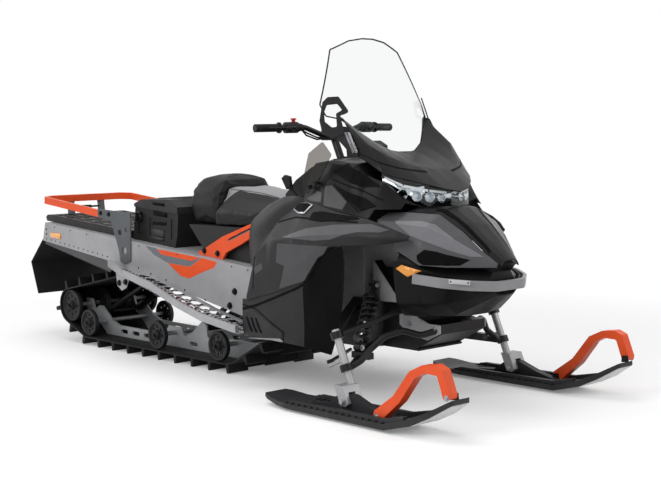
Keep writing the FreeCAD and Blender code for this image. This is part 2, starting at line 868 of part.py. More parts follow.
def make_rack_brackets():
    """Side plates that carry the cargo loop, and the stays of the loop's rear bar."""
    plate = new_body("rack_bracket_right")
    inner = OUTSIDE_TUNNEL
    outline = [(-988.0, 691.0), (-985.0, 650.0), (-871.0, 636.0), (-812.0, 500.0), (-800.0, 446.0)]
    outline += [(-770.0, 434.0), (-716.0, 452.0), (-708.0, 640.0), (-713.0, 682.0)]
    holes = [(-960.0, 672.0, 5.0), (-890.0, 668.0, 5.0), (-800.0, 585.0, 15.0), (-765.0, 500.0, 18.0)]
    holes += [(-748.0, 600.0, 10.0)]
    side_pad(plate, outline, inner, f"{inner} + sizes.bracket_thickness", 8.0, holes)
    stay = new_body("loop_stay_right")
    stay_middle = 92.0
    half = 13.0
    foot_front = top_line(-1505.0, "sizes.deck_height + 2 * sizes.seat_gap")
    foot_rear = top_line(-1536.0, "sizes.deck_height - 3")
    high = "sizes.loop_rear_height - sizes.loop_bar_height / 2 - sizes.seat_gap - 3"
    profile = [(-1505.0, foot_front), (-1536.0, foot_rear), (-1540.0, high), (-1514.0, high)]
    side_pad(stay, profile, stay_middle - half, stay_middle + half)
    return pair("rack_brackets", plate, stay)


def make_snow_flap():
    """Rubber sheet behind the track, bent twice, and the dark strips along the tunnel's lower edges."""
    flap = new_body("rear_flap")
    outer = [(-1493.0, 540.0), (-1516.0, 524.0), (-1650.0, 391.0), (-1588.0, 229.0)]
    inner = [(x + 5.0, z - 1.0) for x, z in outer[::-1]]
    side_pad(flap, outer + inner, f"-({INSIDE_TUNNEL})", INSIDE_TUNNEL)
    passage_half = 48.0
    passage = [(-1610.0, -passage_half), (-1400.0, -passage_half), (-1400.0, passage_half), (-1610.0, passage_half)]
    plan_cut(flap, passage, 508.0, 560.0)
    strip = new_body("rear_strip_right")
    outline = [(-1505.0, 516.0), (-900.0, 450.0), (-862.0, 415.0), (-905.0, 385.0), (-1500.0, 492.0)]
    side_pad(strip, outline, f"{INSIDE_TUNNEL} - 3", INSIDE_TUNNEL)
    return together("snow_flap", flap, strip, twin("rear_strip_left", strip))


def make_tail_light():
    """Lamp bar at the deck's rear end."""
    body = new_body("tail_light")
    face = -1556.6
    profile = [(face, top_line(face, 9.0)), (face, top_line(face, 23.0))]
    profile += [(face - 11.0, top_line(face, 21.0)), (face - 11.0, top_line(face, 9.0))]
    side_pad(body, profile, -90.0, 90.0)
    return body


def make_tow_hitch():
    """Tow plate under the tunnel's rear end with the bore for a drawbar pin."""
    body = new_body("tow_hitch")
    low = 545.0
    beam = [(-1488.0, low), (-1458.0, low), (-1458.0, low + 16.0), (-1488.0, low + 16.0)]
    side_pad(body, beam, f"-({INSIDE_TUNNEL})", INSIDE_TUNNEL)
    plate = [(-1470.0, -40.0), (-1600.0, -30.0), (-1600.0, 30.0), (-1470.0, 40.0)]
    plan_pad(body, plate, low, low + 10.0)
    plan_cut(body, [], low - 5.0, low + 20.0, circles=[(-1578.0, 0.0, 8.0)])
    return body


# Storage box

BOX_RIM_RISE = 158.0
LID_LINE_RISE = 160.5


def make_storage_box():
    """Open-topped box behind the rider with recesses and ribs on its sides."""
    body = new_body("storage_box")
    half = "sizes.box_half_width"
    wall = size("box_wall")
    outline = [(-776.0, 0.0), (-440.0, 0.0), (-421.0, 60.0), (-411.0, BOX_RIM_RISE), (-752.0, BOX_RIM_RISE - 2.0)]
    side_pad(body, resting(outline), f"-{half}", half)
    room = [(-770.0 + wall, wall), (-446.0 - wall, wall), (-427.0 - wall, 60.0), (-416.0 - wall, 200.0)]
    room += [(-748.0 + wall, 200.0)]
    side_cut(body, resting(room), f"-({half} - sizes.box_wall)", f"{half} - sizes.box_wall")
    depth = 3.5
    recesses = [
        [(-640.0, 34.0), (-500.0, 34.0), (-500.0, 118.0), (-640.0, 118.0)],
        [(-735.0, 30.0), (-662.0, 30.0), (-662.0, 128.0), (-730.0, 128.0)],
        [(-470.0, 34.0), (-446.0, 34.0), (-432.0, 128.0), (-470.0, 128.0)],
    ]
    for recess in recesses:
        side_cut(body, resting(recess), f"{half} - {depth}", f"{half} + 1")
        side_cut(body, resting(recess), f"-{half} - 1", f"-{half} + {depth}")
    return body


def make_storage_lid():
    """Raised lid of the box with a stepped top and two hinge barrels on its left edge."""
    body = new_body("lid_cover")
    half = size("box_half_width")
    wall = 4.0
    rise = BOX_RIM_RISE + 2 * size("seat_gap")
    outline = [(-756.0, rise - 2.2), (-414.0, rise - 0.2), (-414.0, rise + 30.0), (-462.0, rise + 62.0)]
    outline += [(-700.0, rise + 38.0), (-758.0, rise + 12.0)]
    side_pad(body, resting(outline), -half - wall, half + wall)
    inside = [(-750.0, rise - 5.0), (-420.0, rise - 5.0), (-420.0, rise + 26.0), (-464.0, rise + 62.0 - wall)]
    inside += [(-698.0, rise + 38.0 - wall), (-750.0, rise + 10.0 - wall)]
    side_cut(body, resting(inside), -half, half)
    barrels = []
    barrel_length = 40.0
    barrel_radius = 4.0
    for x in (-700.0, -500.0):
        across = half + wall + 0.5
        start = Vector(x, across, number(top_line(x, LID_LINE_RISE)))
        stop = Vector(x + barrel_length, across, number(top_line(x + barrel_length, LID_LINE_RISE)))
        barrels.append(rod(f"hinge_barrel_{round(-x)}", start, stop, barrel_radius))
    return fused("storage_lid", body, *barrels)


# Rider's place

SEAT_JOINT = -178.0
SEAT_FRONT = 262.0
CUSHION_BOTTOM = 640.0


def make_seat():
    """Main cushion: flat panel on top, hollow flanks, wider below, sloping down to the front."""
    stations = [
        (SEAT_JOINT, 195.0, 108.0, CUSHION_BOTTOM, 811.0),
        (-84.0, 192.0, 103.0, CUSHION_BOTTOM, 803.0),
        (75.0, 180.0, 88.0, 642.0, 783.0),
        (170.0, 158.0, 82.0, 656.0, 766.0),
        (226.0, 132.0, 74.0, 678.0, 752.0),
        (SEAT_FRONT, 102.0, 57.0, 702.0, 741.0),
    ]
    loops = []
    for x, low_half, high_half, low, high in stations:
        rise = high - low
        side = [(-low_half, low), (-low_half - 3.0, low + 0.34 * rise), (-high_half - 26.0, low + 0.74 * rise)]
        side += [(-high_half - 8.0, high - 7.0), (-high_half + 4.0, high)]
        loops.append((x, full_width(side)))
    return loft_body("seat", "YZ_Plane", loops)


def make_backrest():
    """Raised rear bolster of the rider's cushion, rounded from side to side and from front to rear."""
    front = SEAT_JOINT - size("seat_gap")
    profile = new_body("bolster_profile")
    outline = [(front, CUSHION_BOTTOM), (-350.0, CUSHION_BOTTOM), (-372.0, 690.0), (-386.0, 760.0), (-376.0, 822.0)]
    outline += [(-344.0, 856.0), (-290.0, 868.0), (-222.0, 864.0), (front, 846.0)]
    side_pad(profile, outline, -190.0, 190.0, 14.0)
    view = new_body("bolster_view")
    half = [(-168.0, CUSHION_BOTTOM - 10.0), (-172.0, 720.0), (-158.0, 792.0), (-118.0, 850.0), (-60.0, 869.0)]
    front_pad(view, full_width(half), -400.0, -100.0, 30.0)
    return shared("backrest", profile, view)


def make_seat_base():
    """Moulded base between the tunnel and the cushions."""
    body = new_body("seat_base")
    lower = [(SEAT_FRONT, top_line(SEAT_FRONT, "sizes.seat_gap")), (-216.0, top_line(-216.0, "sizes.seat_gap"))]
    upper = [(-344.0, 640.0), (0.0, 640.0), (75.0, 642.0), (170.0, 656.0), (226.0, 678.0), (SEAT_FRONT, 700.0)]
    upper = [(x, f"{z} - sizes.seat_gap") for x, z in upper]
    side_pad(body, lower + upper, "-sizes.seat_base_half_width", "sizes.seat_base_half_width")
    return body


def make_side_frames():
    """Slotted strut on each side from the tunnel up to the front bodywork."""
    body = new_body("side_frame_right")
    inner = "sizes.strut_inner_half_width"
    outer = "sizes.strut_inner_half_width + sizes.strut_thickness"
    outline = [(-262.0, top_line(-262.0, "sizes.seat_gap")), (-60.0, top_line(-60.0, "sizes.seat_gap"))]
    outline += [(-40.0, 530.0), (60.0, 570.0), (215.0, 640.0), (210.0, 688.0), (-60.0, 600.0), (-180.0, 545.0)]
    holes = [(-190.0, top_line(-190.0, 22.0), 7.0), (-95.0, top_line(-95.0, 22.0), 7.0)]
    side_pad(body, outline, inner, outer, 8.0, holes)
    slot = [(-20.0, 580.0), (185.0, 655.0), (185.0, 667.0), (-20.0, 592.0)]
    side_cut(body, slot, f"{inner} - 5", f"{outer} + 5", 3.0)
    return pair("side_frames", body)


BAR_CENTRE = Vector(400.0, 0.0, 1035.0)
HOOD_REAR = 566.0
HOOD_TOP = 940.0


def post_point(travel):
    """A point on the steering post's axis, measured down from the bar's clamp."""
    lean = math.radians(size("post_lean"))
    return Vector(BAR_CENTRE.x + travel * math.sin(lean), 0.0, BAR_CENTRE.z - travel * math.cos(lean))


def make_console():
    """Tank cover and dash with the collar that the steering post turns in, and the gauge."""
    cover = new_body("tank_cover")
    rear = f"{SEAT_FRONT} + sizes.seat_gap"
    front = f"{HOOD_REAR} - sizes.seat_gap"
    outline = [(rear, 620.0), (rear, 790.0), (330.0, 850.0), (430.0, 905.0), (front, HOOD_TOP), (front, 620.0)]
    side_pad(cover, outline, "-sizes.console_half_width", "sizes.console_half_width")
    collar = rod("post_collar", post_point(110.0), post_point(290.0), 26.0)
    bore = rod("post_bore", post_point(60.0), post_point(340.0), "sizes.post_radius + 0.05")
    gauge = new_body("gauge_housing")
    profile = [(HOOD_REAR, HOOD_TOP + 0.4), (640.0, 942.2), (640.0, 990.0), (600.0, 1010.0), (560.0, 1000.0)]
    side_pad(gauge, profile, -80.0, 80.0)
    bored = less("bored_cover", fused("cover_and_collar", cover, collar), bore)
    return together("console", bored, gauge)


# Front bodywork

FIREWALL = 470.0
FLOOR_LOW = 205.0
BLOCK_FRONT = 1000.0


def make_bulkhead():
    """Front chassis: hood of the track, firewall, floor, side plates and the block that carries the arms."""
    body = new_body("front_chassis")
    gap = size("seat_gap")
    rear = size("tunnel_front") + gap
    wall_end = FIREWALL + gap + 8.0
    cover = [(rear, top_line(rear)), (wall_end, top_line(wall_end)), (wall_end, FLOOR_LOW), (FIREWALL + gap, FLOOR_LOW)]
    cover += [(400.0, 232.0), (rear, 262.0)]
    side_pad(body, cover, -266.0, 266.0)
    inside = [(rear - 50.0, top_line(rear - 50.0, -3.0)), (FIREWALL + gap, top_line(FIREWALL + gap, -3.0))]
    inside += [(FIREWALL + gap, 150.0), (rear - 50.0, 150.0)]
    side_cut(body, inside, -263.0, 263.0)
    half = "sizes.block_half_width"
    cradle = 200.0
    floor = [(wall_end - 1.0, -cradle), (785.0, -cradle), (815.0, f"-{half}"), (BLOCK_FRONT - gap, f"-{half}")]
    floor += [(BLOCK_FRONT - gap, half), (815.0, half), (785.0, cradle), (wall_end - 1.0, cradle)]
    plan_pad(body, floor, FLOOR_LOW, FLOOR_LOW + 8.0)
    profile = [(800.0, 210.0), (BLOCK_FRONT - 15.0, 210.0), (1060.0, 250.0), (1118.0, 281.0), (1118.0, 318.0)]
    profile += [(BLOCK_FRONT - gap, 318.0), (BLOCK_FRONT - gap, 400.0), (950.0, 520.0), (830.0, 520.0)]
    side_pad(body, profile, f"-{half}", half)
    plate = [(600.0, 210.0), (784.0, 210.0), (784.0, 330.0), (760.0, 400.0), (720.0, 400.0), (600.0, 280.0)]
    tower = [(805.0, 545.0), (940.0, 395.0), (795.0, 392.0)]
    for side in (1, -1):
        ends = sorted((side * (size("engine_width") / 2 + 2 * gap), side * cradle))
        side_pad(body, plate, *ends)
        ends = sorted((side * (size("block_half_width") - 1.0), side * TOWER_HALF_WIDTH))
        side_pad(body, tower, *ends)
    body.Label = "bulkhead"
    return body


TOWER_HALF_WIDTH = 165.0


def make_engine_block():
    """Engine stood in for by one plain block at its real place."""
    spans = ("sizes.engine_length", "sizes.engine_width", "sizes.engine_height")
    corner = Vector(500.0, -size("engine_width") / 2, FLOOR_LOW + 8.0 + size("seat_gap"))
    return block("engine_block", corner, spans)


SIDE_STATIONS = [
    (302.0, [(-402.0, 366.0), (-404.0, 380.0), (-402.0, 392.0), (-385.0, 400.0)]),
    (356.0, [(-402.0, 385.0), (-404.0, 460.0), (-398.0, 560.0), (-345.0, 631.0)]),
    (440.0, [(-402.0, 405.0), (-404.0, 500.0), (-400.0, 625.0), (-330.0, 705.0)]),
    (585.0, [(-400.0, 450.0), (-404.0, 520.0), (-402.0, 640.0), (-322.0, 782.0)]),
    (668.0, [(-398.0, 475.0), (-404.0, 560.0), (-402.0, 650.0), (-330.0, 765.0)]),
    (736.0, [(-396.0, 568.0), (-402.0, 610.0), (-400.0, 655.0), (-335.0, 750.0)]),
    (808.0, [(-390.0, 618.0), (-398.0, 640.0), (-396.0, 660.0), (-338.0, 738.0)]),
    (930.0, [(-362.0, 624.0), (-376.0, 648.0), (-374.0, 668.0), (-330.0, 722.0)]),
    (1000.0, [(-334.0, 628.0), (-346.0, 645.0), (-344.0, 662.0), (-314.0, 702.0)]),
    (1060.0, [(-300.0, 638.0), (-310.0, 648.0), (-309.0, 658.0), (-292.0, 678.0)]),
    (1092.0, [(-274.0, 645.0), (-280.0, 650.0), (-280.0, 655.0), (-270.0, 662.0)]),
]


def make_side_panels():
    """Upper side panels with their fender ridges over the ski arms."""
    return pair("side_panels", skin_body("side_panel_right", SIDE_STATIONS, size("panel_wall")))


LOWER_KEYS = [
    (268.3, [(-392.0, 212.0), (-398.0, 260.0), (-398.0, 320.0)]),
    (302.0, [(-392.0, 212.0), (-398.0, 260.0), (-398.0, 320.0)]),
    (440.0, [(-385.0, 217.0), (-396.0, 265.0), (-396.0, 330.0)]),
    (585.0, [(-366.0, 207.0), (-380.0, 270.0), (-387.0, 340.0)]),
    (736.0, [(-340.0, 186.0), (-352.0, 270.0), (-366.0, 390.0)]),
    (808.0, [(-322.0, 178.0), (-334.0, 270.0), (-348.0, 400.0)]),
    (848.0, [(-312.0, 178.0), (-324.0, 270.0), (-338.0, 400.0)]),
]


def make_lower_panels():
    """Lower side panels: upper edge inside the upper panel, front edge leaning back to the foot."""
    inward = size("panel_wall") + 2 * size("seat_gap")
    overlap = 6.0
    stations = []
    for x in (268.3, 302.0, 356.0, 440.0, 585.0, 668.0, 736.0, 808.0, 848.0):
        y, z = chain_at(SIDE_STATIONS, max(x, 302.0))[0]
        stations.append((x, chain_at(LOWER_KEYS, x) + [(y + inward, z + overlap)]))
    body = skin_body("lower_panel_right", stations, size("panel_wall"))
    front = [(841.0, 560.0), (812.0, 409.0), (782.0, 290.0), (735.0, 185.0), (735.0, 100.0), (900.0, 100.0)]
    side_cut(body, front + [(900.0, 700.0), (845.0, 700.0)], 250.0, 450.0)
    return pair("lower_panels", body)


CHEEK_START = 935.0
CHEEK_EDGE = 216.0


def make_hood():
    """Dark upper cowl between the side panels, with shoulders that rise beside the lamp."""
    front = NOSE_REAR - size("seat_gap")
    keys = [
        (HOOD_REAR, [(-296.0, 850.0), (-262.0, 915.0), (-250.0, 925.0), (-120.0, HOOD_TOP)]),
        (700.0, [(-312.0, 860.0), (-290.0, 922.0), (-280.0, 938.0), (-120.0, 943.0)]),
        (815.0, [(-306.0, 842.0), (-286.0, 908.0), (-276.0, 922.0), (-120.0, 940.0)]),
        (850.0, [(-300.0, 815.0), (-272.0, 890.0), (-240.0, 892.0), (-120.0, 900.0)]),
        (868.0, [(-294.0, 795.0), (-264.0, 878.0), (-228.0, 872.0), (-120.0, 782.0)]),
        (930.0, [(-282.0, 772.0), (-242.0, 856.0), (-214.0, 848.0), (-110.0, 772.0)]),
        (985.0, [(-264.0, 748.0), (-216.0, 806.0), (-190.0, 798.0), (-100.0, 764.0)]),
        (front, [(-250.0, 738.0), (-204.0, 782.0), (-176.0, 776.0), (-96.0, NOSE_TOP)]),
    ]
    edge_gap = (2.2, 1.8)
    stations = []
    for x in (HOOD_REAR, 585.0, 668.0, 700.0, 736.0, 808.0, 815.0, 850.0, 868.0, 930.0, 985.0, 1000.0, front):
        y, z = chain_at(SIDE_STATIONS, x)[-1]
        stations.append((x, full_width([(y + edge_gap[0], z + edge_gap[1])] + chain_at(keys, x))))
    body = skin_body("hood", stations, size("panel_wall"))
    for side in (-1, 1):
        cheek_room = [(CHEEK_START, side * CHEEK_EDGE), (1100.0, side * CHEEK_EDGE)]
        cheek_room += [(1100.0, side * 400.0), (CHEEK_START, side * 400.0)]
        plan_cut(body, cheek_room, 600.0, 755.0)
    return body


NOSE_TOP = 760.0
NOSE_REAR = 1010.0
NOSE_HALVES = [
    (NOSE_REAR, [(-196.0, 744.0), (-150.0, 754.0), (-60.0, NOSE_TOP)]),
    (1110.0, [(-122.0, 735.0), (-86.0, 752.0), (-40.0, NOSE_TOP)]),
    (1200.0, [(-92.0, 672.0), (-70.0, 692.0), (-32.0, 698.0)]),
    (1280.0, [(-76.0, 604.0), (-57.0, 624.0), (-26.0, 630.0)]),
    (1345.0, [(-50.0, 552.0), (-38.0, 566.0), (-18.0, 572.0)]),
]


def make_nose_panel():
    """Middle of the nose, from the lamp down to the tip."""
    halves = [(x, full_width(half)) for x, half in NOSE_HALVES]
    return skin_body("nose_panel", halves, size("panel_wall"))


def make_nose_sides():
    """Grey cheeks between the nose's middle, the fenders and the bumper."""
    joint = (-1.9, -1.0)
    lower = [
        (1010.0, [(-258.0, 604.0), (-268.0, 676.0), (-258.0, 704.0)]),
        (1110.0, [(-240.0, 552.0), (-236.0, 622.0), (-200.0, 690.0)]),
        (1200.0, [(-192.0, 546.0), (-182.0, 598.0), (-148.0, 646.0)]),
        (1280.0, [(-118.0, 545.0), (-110.0, 566.0), (-98.0, 588.0)]),
        (1334.0, [(-66.0, 545.0), (-64.0, 551.0), (-61.0, 556.0)]),
    ]
    stations = [(CHEEK_START + 1.0, [(-256.0, 652.0), (-286.0, 690.0), (-278.0, 716.0), (-221.0, 740.0)])]
    for x, chain in lower:
        y, z = chain_at(NOSE_HALVES, x)[0]
        stations.append((x, chain + [(y + joint[0], z + joint[1])]))
    return pair("nose_sides", skin_body("nose_side_right", stations, size("panel_wall")))


BUMPER_LINE = [(1085.0, -243.0), (1195.0, -214.0), (1283.0, -153.0), (1338.0, -76.0)]


BELLY_HALVES = [
    (BLOCK_FRONT, [(-262.0, 565.0), (-258.0, 480.0), (-245.0, 400.0), (-205.0, 352.0), (-60.0, 330.0)]),
    (1090.0, [(-236.0, 545.0), (-226.0, 480.0), (-208.0, 400.0), (-170.0, 350.0), (-60.0, 338.0)]),
    (1190.0, [(-203.0, 515.0), (-196.0, 470.0), (-170.0, 410.0), (-130.0, 362.0), (-50.0, 352.0)]),
    (1275.0, [(-146.0, 500.0), (-138.0, 465.0), (-110.0, 430.0), (-80.0, 410.0), (-30.0, 404.0)]),
    (1322.0, [(-82.0, 492.0), (-78.0, 468.0), (-62.0, 448.0), (-44.0, 438.0), (-20.0, 436.0)]),
]


def make_belly_pan():
    """Black tub under the nose with a flat, rising floor."""
    return skin_body("belly_pan", [(x, full_width(half)) for x, half in BELLY_HALVES], -size("panel_wall"))


def make_bumper():
    """Bowed strip round the front, seated on the belly pan by two pads."""
    strip = new_body("bumper_strip")
    inner = BUMPER_LINE + [(x, -y) for x, y in BUMPER_LINE[::-1]]
    outer = offset_chain(inner, size("bumper_thickness"))
    outer[0] = (inner[0][0], outer[0][1])
    outer[-1] = (inner[-1][0], outer[-1][1])
    start = BUMPER_LINE[0][0]
    outline = [(x - start, y) for x, y in inner[::-1] + outer]
    place = Vector(start, 0.0, 484.0)
    tilted_pad(strip, outline, place, 5.5, "sizes.bumper_height", 60.0)
    pads = []
    for side in (-1, 1):
        spans = (18.0, 24.0, 18.0)
        corner = Vector(1180.0, side * 207.0 - spans[1] / 2, 481.0)
        pads.append(block(f"bumper_pad_{side + 1}", corner, spans))
    seat = [(x, offset_chain(full_width(half), size("seat_gap"))) for x, half in BELLY_HALVES]
    return less("front_bumper", fused("strip_and_pads", strip, *pads), loft_body("belly_room", "YZ_Plane", seat))


# Lamp, visor and screen

SCREEN_SLOPE = -0.4459
SCREEN_RADIUS = 500.0
SCREEN_FOOT = Vector(815.0, 0.0, 961.0)


def screen_centre(height):
    """Place along the vehicle of the screen's centre of curvature at a height."""
    return SCREEN_FOOT.x + (height - SCREEN_FOOT.z) * SCREEN_SLOPE - SCREEN_RADIUS


def screen_face(across, height):
    """Place along the vehicle of the screen's outer face."""
    return screen_centre(height) + math.sqrt(SCREEN_RADIUS ** 2 - across ** 2)


def screen_band(name, low, tall, inner, outer, half):
    """Part of a leaning cylinder: an arched band in plan, padded along the screen's slope."""
    body = new_body(name)
    sketch = sketch_on(body, "XY_Plane", low)
    centre = screen_centre(low)
    angle = math.asin(half / SCREEN_RADIUS)
    ends = {}
    for radius in (inner, outer):
        ends[radius] = [Vector(centre + radius * math.cos(turn), radius * math.sin(turn), 0) for turn in (-angle, 0, angle)]
    curves = [Part.Arc(*ends[inner]), Part.LineSegment(ends[inner][2], ends[outer][2])]
    curves += [Part.Arc(*ends[outer][::-1]), Part.LineSegment(ends[outer][0], ends[inner][0])]
    sketch.addGeometry(curves, False)
    join_curves(sketch, 0, 4)
    pad = body.newObject("PartDesign::Pad", f"{name}_pad")
    pad.Profile = sketch
    pad.UseCustomVector = True
    pad.Direction = Vector(SCREEN_SLOPE, 0, 1)
    pad.AlongSketchNormal = True
    pad.Length = tall
    return body


VISOR_HALF_WIDTH = 245.0


def make_visor():
    """Peak over the lamp: its upper edge is a U that holds the screen."""
    stand_off = 4.0
    edges = [(236.0, 1106.0), (190.0, 1054.0), (130.0, 1003.0), (70.0, 973.0), (0.0, 962.0)]
    rims = [(screen_face(across, height) + stand_off, height) for across, height in edges]
    stations = [
        (VISOR_HALF_WIDTH, [(808.0, 955.0), (770.0, 1026.0), (723.0, 1097.0)]),
        (236.0, [(930.0, 887.0), (846.0, 996.0), rims[0]]),
        (190.0, [(988.0, 868.0), (895.0, 956.0), rims[1]]),
        (130.0, [(1045.0, 848.0), (940.0, 924.0), rims[2]]),
        (70.0, [(1088.0, 828.0), (972.0, 908.0), rims[3]]),
        (0.0, [(1107.0, 816.0), (984.0, 900.0), rims[4]]),
    ]
    stations += [(-across, chain) for across, chain in stations[-2::-1]]
    loops = [(across, chain + offset_chain(chain, -size("panel_wall"))[::-1]) for across, chain in stations]
    shell = loft_body("visor_shell", "XZ_Plane", loops)
    behind = screen_band("room_behind_visor", 900.0, 400.0, SCREEN_RADIUS - 60.0, SCREEN_RADIUS + 2 * size("seat_gap"), 330.0)
    return less("visor", shell, behind)


def make_headlight():
    """Lamp unit under the visor: a bowed wedge that narrows to a point at each end."""
    plan_view = new_body("lamp_plan")
    half = [(872.0, -196.0), (905.0, -224.0), (985.0, -192.0), (1048.0, -112.0), (1084.0, -30.0)]
    outline = half + [(x, -y) for x, y in half[::-1]]
    plan_pad(plan_view, outline, 700.0, 950.0)
    side_view = new_body("lamp_profile")
    rest = f"{NOSE_TOP} + sizes.seat_gap"
    view = [(868.0, 886.0), (985.0, 826.0), (1022.0, 786.0), (1040.0, rest), (1110.0, rest), (1110.0, 809.0)]
    view += [(1045.0, 843.0), (930.0, 882.0), (868.0, 904.0)]
    side_pad(side_view, view, -300.0, 300.0)
    return shared("headlight", plan_view, side_view)


def make_windshield():
    """Tall clear screen with straight flanks and clear corners, widest at its shoulders."""
    wall = size("screen_wall")
    band = screen_band("screen_sheet", 940.0, 500.0, SCREEN_RADIUS - wall, SCREEN_RADIUS, 320.0)
    view = new_body("screen_view")
    half = [(-60.0, 962.0), (-130.0, 995.0), (-236.0, 1094.0), (-282.0, 1106.0), (-290.0, 1154.0)]
    half += [(-192.0, 1374.0), (-100.0, 1412.0), (-30.0, 1423.0)]
    front_pad(view, full_width(half), 200.0, 1200.0, 10.0)
    return shared("windshield", band, view)


RING_CENTRE = Vector(686.6, -269.0, 1110.0)
RING_HEADING = Vector(0.681, 0.733, 0.0)


def ring_point(along, height):
    """A point of the ring's plane, which stands on the screen's tangent and leans with the screen."""
    rise = height - RING_CENTRE.z
    return RING_CENTRE + RING_HEADING * along + Vector(SCREEN_SLOPE * rise, 0, rise)


def leaning_plate(pairs, radius, thickness):
    """Outline of (along, height) pairs in the ring's plane, made solid across it."""
    wire = rounded_wire([ring_point(along, height) for along, height in pairs], radius)
    plate = Part.Face(wire)
    normal = plate.normalAt(0, 0)
    plate.translate(normal * (-thickness / 2))
    return plate.extrude(normal * thickness)


def make_screen_brackets():
    """Ring-shaped brackets beside the screen, each on a plate that runs down along the visor."""
    thickness = 5.0
    outline = [(-46.0, 1116.0), (-24.0, 1162.0), (2.0, 1182.0), (46.0, 1184.0), (68.0, 1124.0), (46.0, 1115.0)]
    outline += [(28.0, 1111.0), (26.0, 1062.0), (26.0, 1040.0), (-30.0, 1020.0), (-62.0, 1040.0), (-58.0, 1090.0)]
    window = [(-30.0, 1122.0), (-10.0, 1152.0), (32.0, 1156.0), (44.0, 1131.0), (15.0, 1118.0), (2.0, 1066.0)]
    window += [(-18.0, 1064.0), (-38.0, 1086.0)]
    ring = leaning_plate(outline, 8.0, thickness).cut(leaning_plate(window, 6.0, 4 * thickness))
    arm_face = VISOR_HALF_WIDTH + size("seat_gap") + thickness
    arm_view = [Vector(x, -arm_face, z) for x, z in
                ((694.0, 1072.0), (738.0, 1066.0), (800.0, 985.0), (806.0, 948.0), (776.0, 952.0), (690.0, 1020.0))]
    arm = Part.Face(rounded_wire(arm_view, 8.0)).extrude(Vector(0, thickness, 0))
    return pair("screen_brackets", shaped("screen_bracket_right", ring.fuse(arm)))


def make_side_deflectors():
    """Tinted deflectors between the handlebar and the hood."""
    body = new_body("side_deflector_right")
    inner = 326.0
    foot = 309.5
    outline = [(690.0, 1010.0), (610.0, 965.0), (575.0, 860.0), (590.0, 800.0), (660.0, 850.0), (740.0, 960.0)]
    side_pad(body, outline, inner, inner + 4.0, 8.0)
    side_pad(body, [], foot, inner, circles=[(612.0, 835.0, 6.0), (650.0, 850.0, 6.0)])
    return pair("side_deflectors", body)


# Ski suspension and steering

LEAN = math.radians(size("spindle_lean"))
PIVOT = Vector(size("ski_pivot_place"), -size("ski_stance_half"), size("ski_pivot_height"))
LOWER_JOINT_HEIGHT = 176.0
UPPER_JOINT_HEIGHT = 292.0
ARM_HEIGHT = 206.0
ARM_REACH = 76.0


def spindle_point(height, across):
    """A point on the steering axis's line in side view, at a height above the ground."""
    return Vector(PIVOT.x - (height - PIVOT.z) * math.tan(LEAN), across, height)


def column_place(height):
    """Placement of something drawn about an upright axis, on the leaning steering axis."""
    return Placement(spindle_point(height, -size("spindle_offset")), Rotation(Vector(0, 1, 0), -size("spindle_lean")))


def column_cylinder(name, height, radius, tall, offset=None):
    """Short cylinder about the steering axis, or about a line parallel to it."""
    ring = plain_object("Part::Cylinder", name)
    bind(ring, "Radius", radius)
    bind(ring, "Height", tall)
    start = offset or Vector(0, 0, -number(tall) / 2)
    ring.Placement = column_place(height).multiply(Placement(start, Rotation()))
    return ring


def make_spindle():
    """Right steering knuckle: round leaning column, fork over the ski and steering arm."""
    across = -size("spindle_offset")
    post = rod("spindle_column", spindle_point(112.0, across), spindle_point(312.0, across), "sizes.column_radius")
    fork = new_body("spindle_fork")
    middle = "sizes.ski_stance_half"
    inner = "sizes.spindle_offset - sizes.column_radius + 1"
    outer = f"{middle} + sizes.ski_fork_width / 2"
    profile = [(940.0, 122.0), (985.0, 122.0), (1012.0, 60.0), (1000.0, 48.0), (972.0, 48.0)]
    side_pad(fork, profile, inner, outer)
    slot = [(900.0, 98.0), (1040.0, 98.0), (1040.0, 20.0), (900.0, 20.0)]
    side_cut(fork, slot, f"{middle} - sizes.ski_fork_gap / 2", f"{middle} + sizes.ski_fork_gap / 2")
    lever_half = 9.0
    lever_tall = 12.0
    lever = block("steering_lever", Vector(-ARM_REACH, -lever_half, -lever_tall / 2),
                  (ARM_REACH, 2 * lever_half, lever_tall), column_place(ARM_HEIGHT))
    eye = column_cylinder("steering_eye", ARM_HEIGHT, 13.0, lever_tall, Vector(-ARM_REACH, 0.0, -lever_tall / 2))
    bore_half = 60.0
    bore = rod("fork_bore", PIVOT - Vector(0, bore_half, 0), PIVOT + Vector(0, bore_half, 0), "sizes.ski_bolt_radius + 0.05")
    return less("spindle_right", fused("spindle_casting", post, fork, lever, eye), bore)


def ski_view(name, pairs, low, high, radius=0.0):
    """Side-view solid of the right ski between two distances from the ski's own middle line."""
    body = new_body(name)
    side_pad(body, pairs, f"sizes.ski_stance_half + ({low})", f"sizes.ski_stance_half + ({high})", radius)
    return body


TIP = "sizes.ski_pivot_place + sizes.ski_front_reach"
TAIL = "sizes.ski_pivot_place - sizes.ski_rear_reach"


def from_tip(distance, height):
    """A side-view point measured back from the ski's tip."""
    return (f"{TIP} - {distance}", height)


def from_tail(distance, height):
    """A side-view point measured forward from the ski's tail."""
    return (f"{TAIL} + {distance}", height)


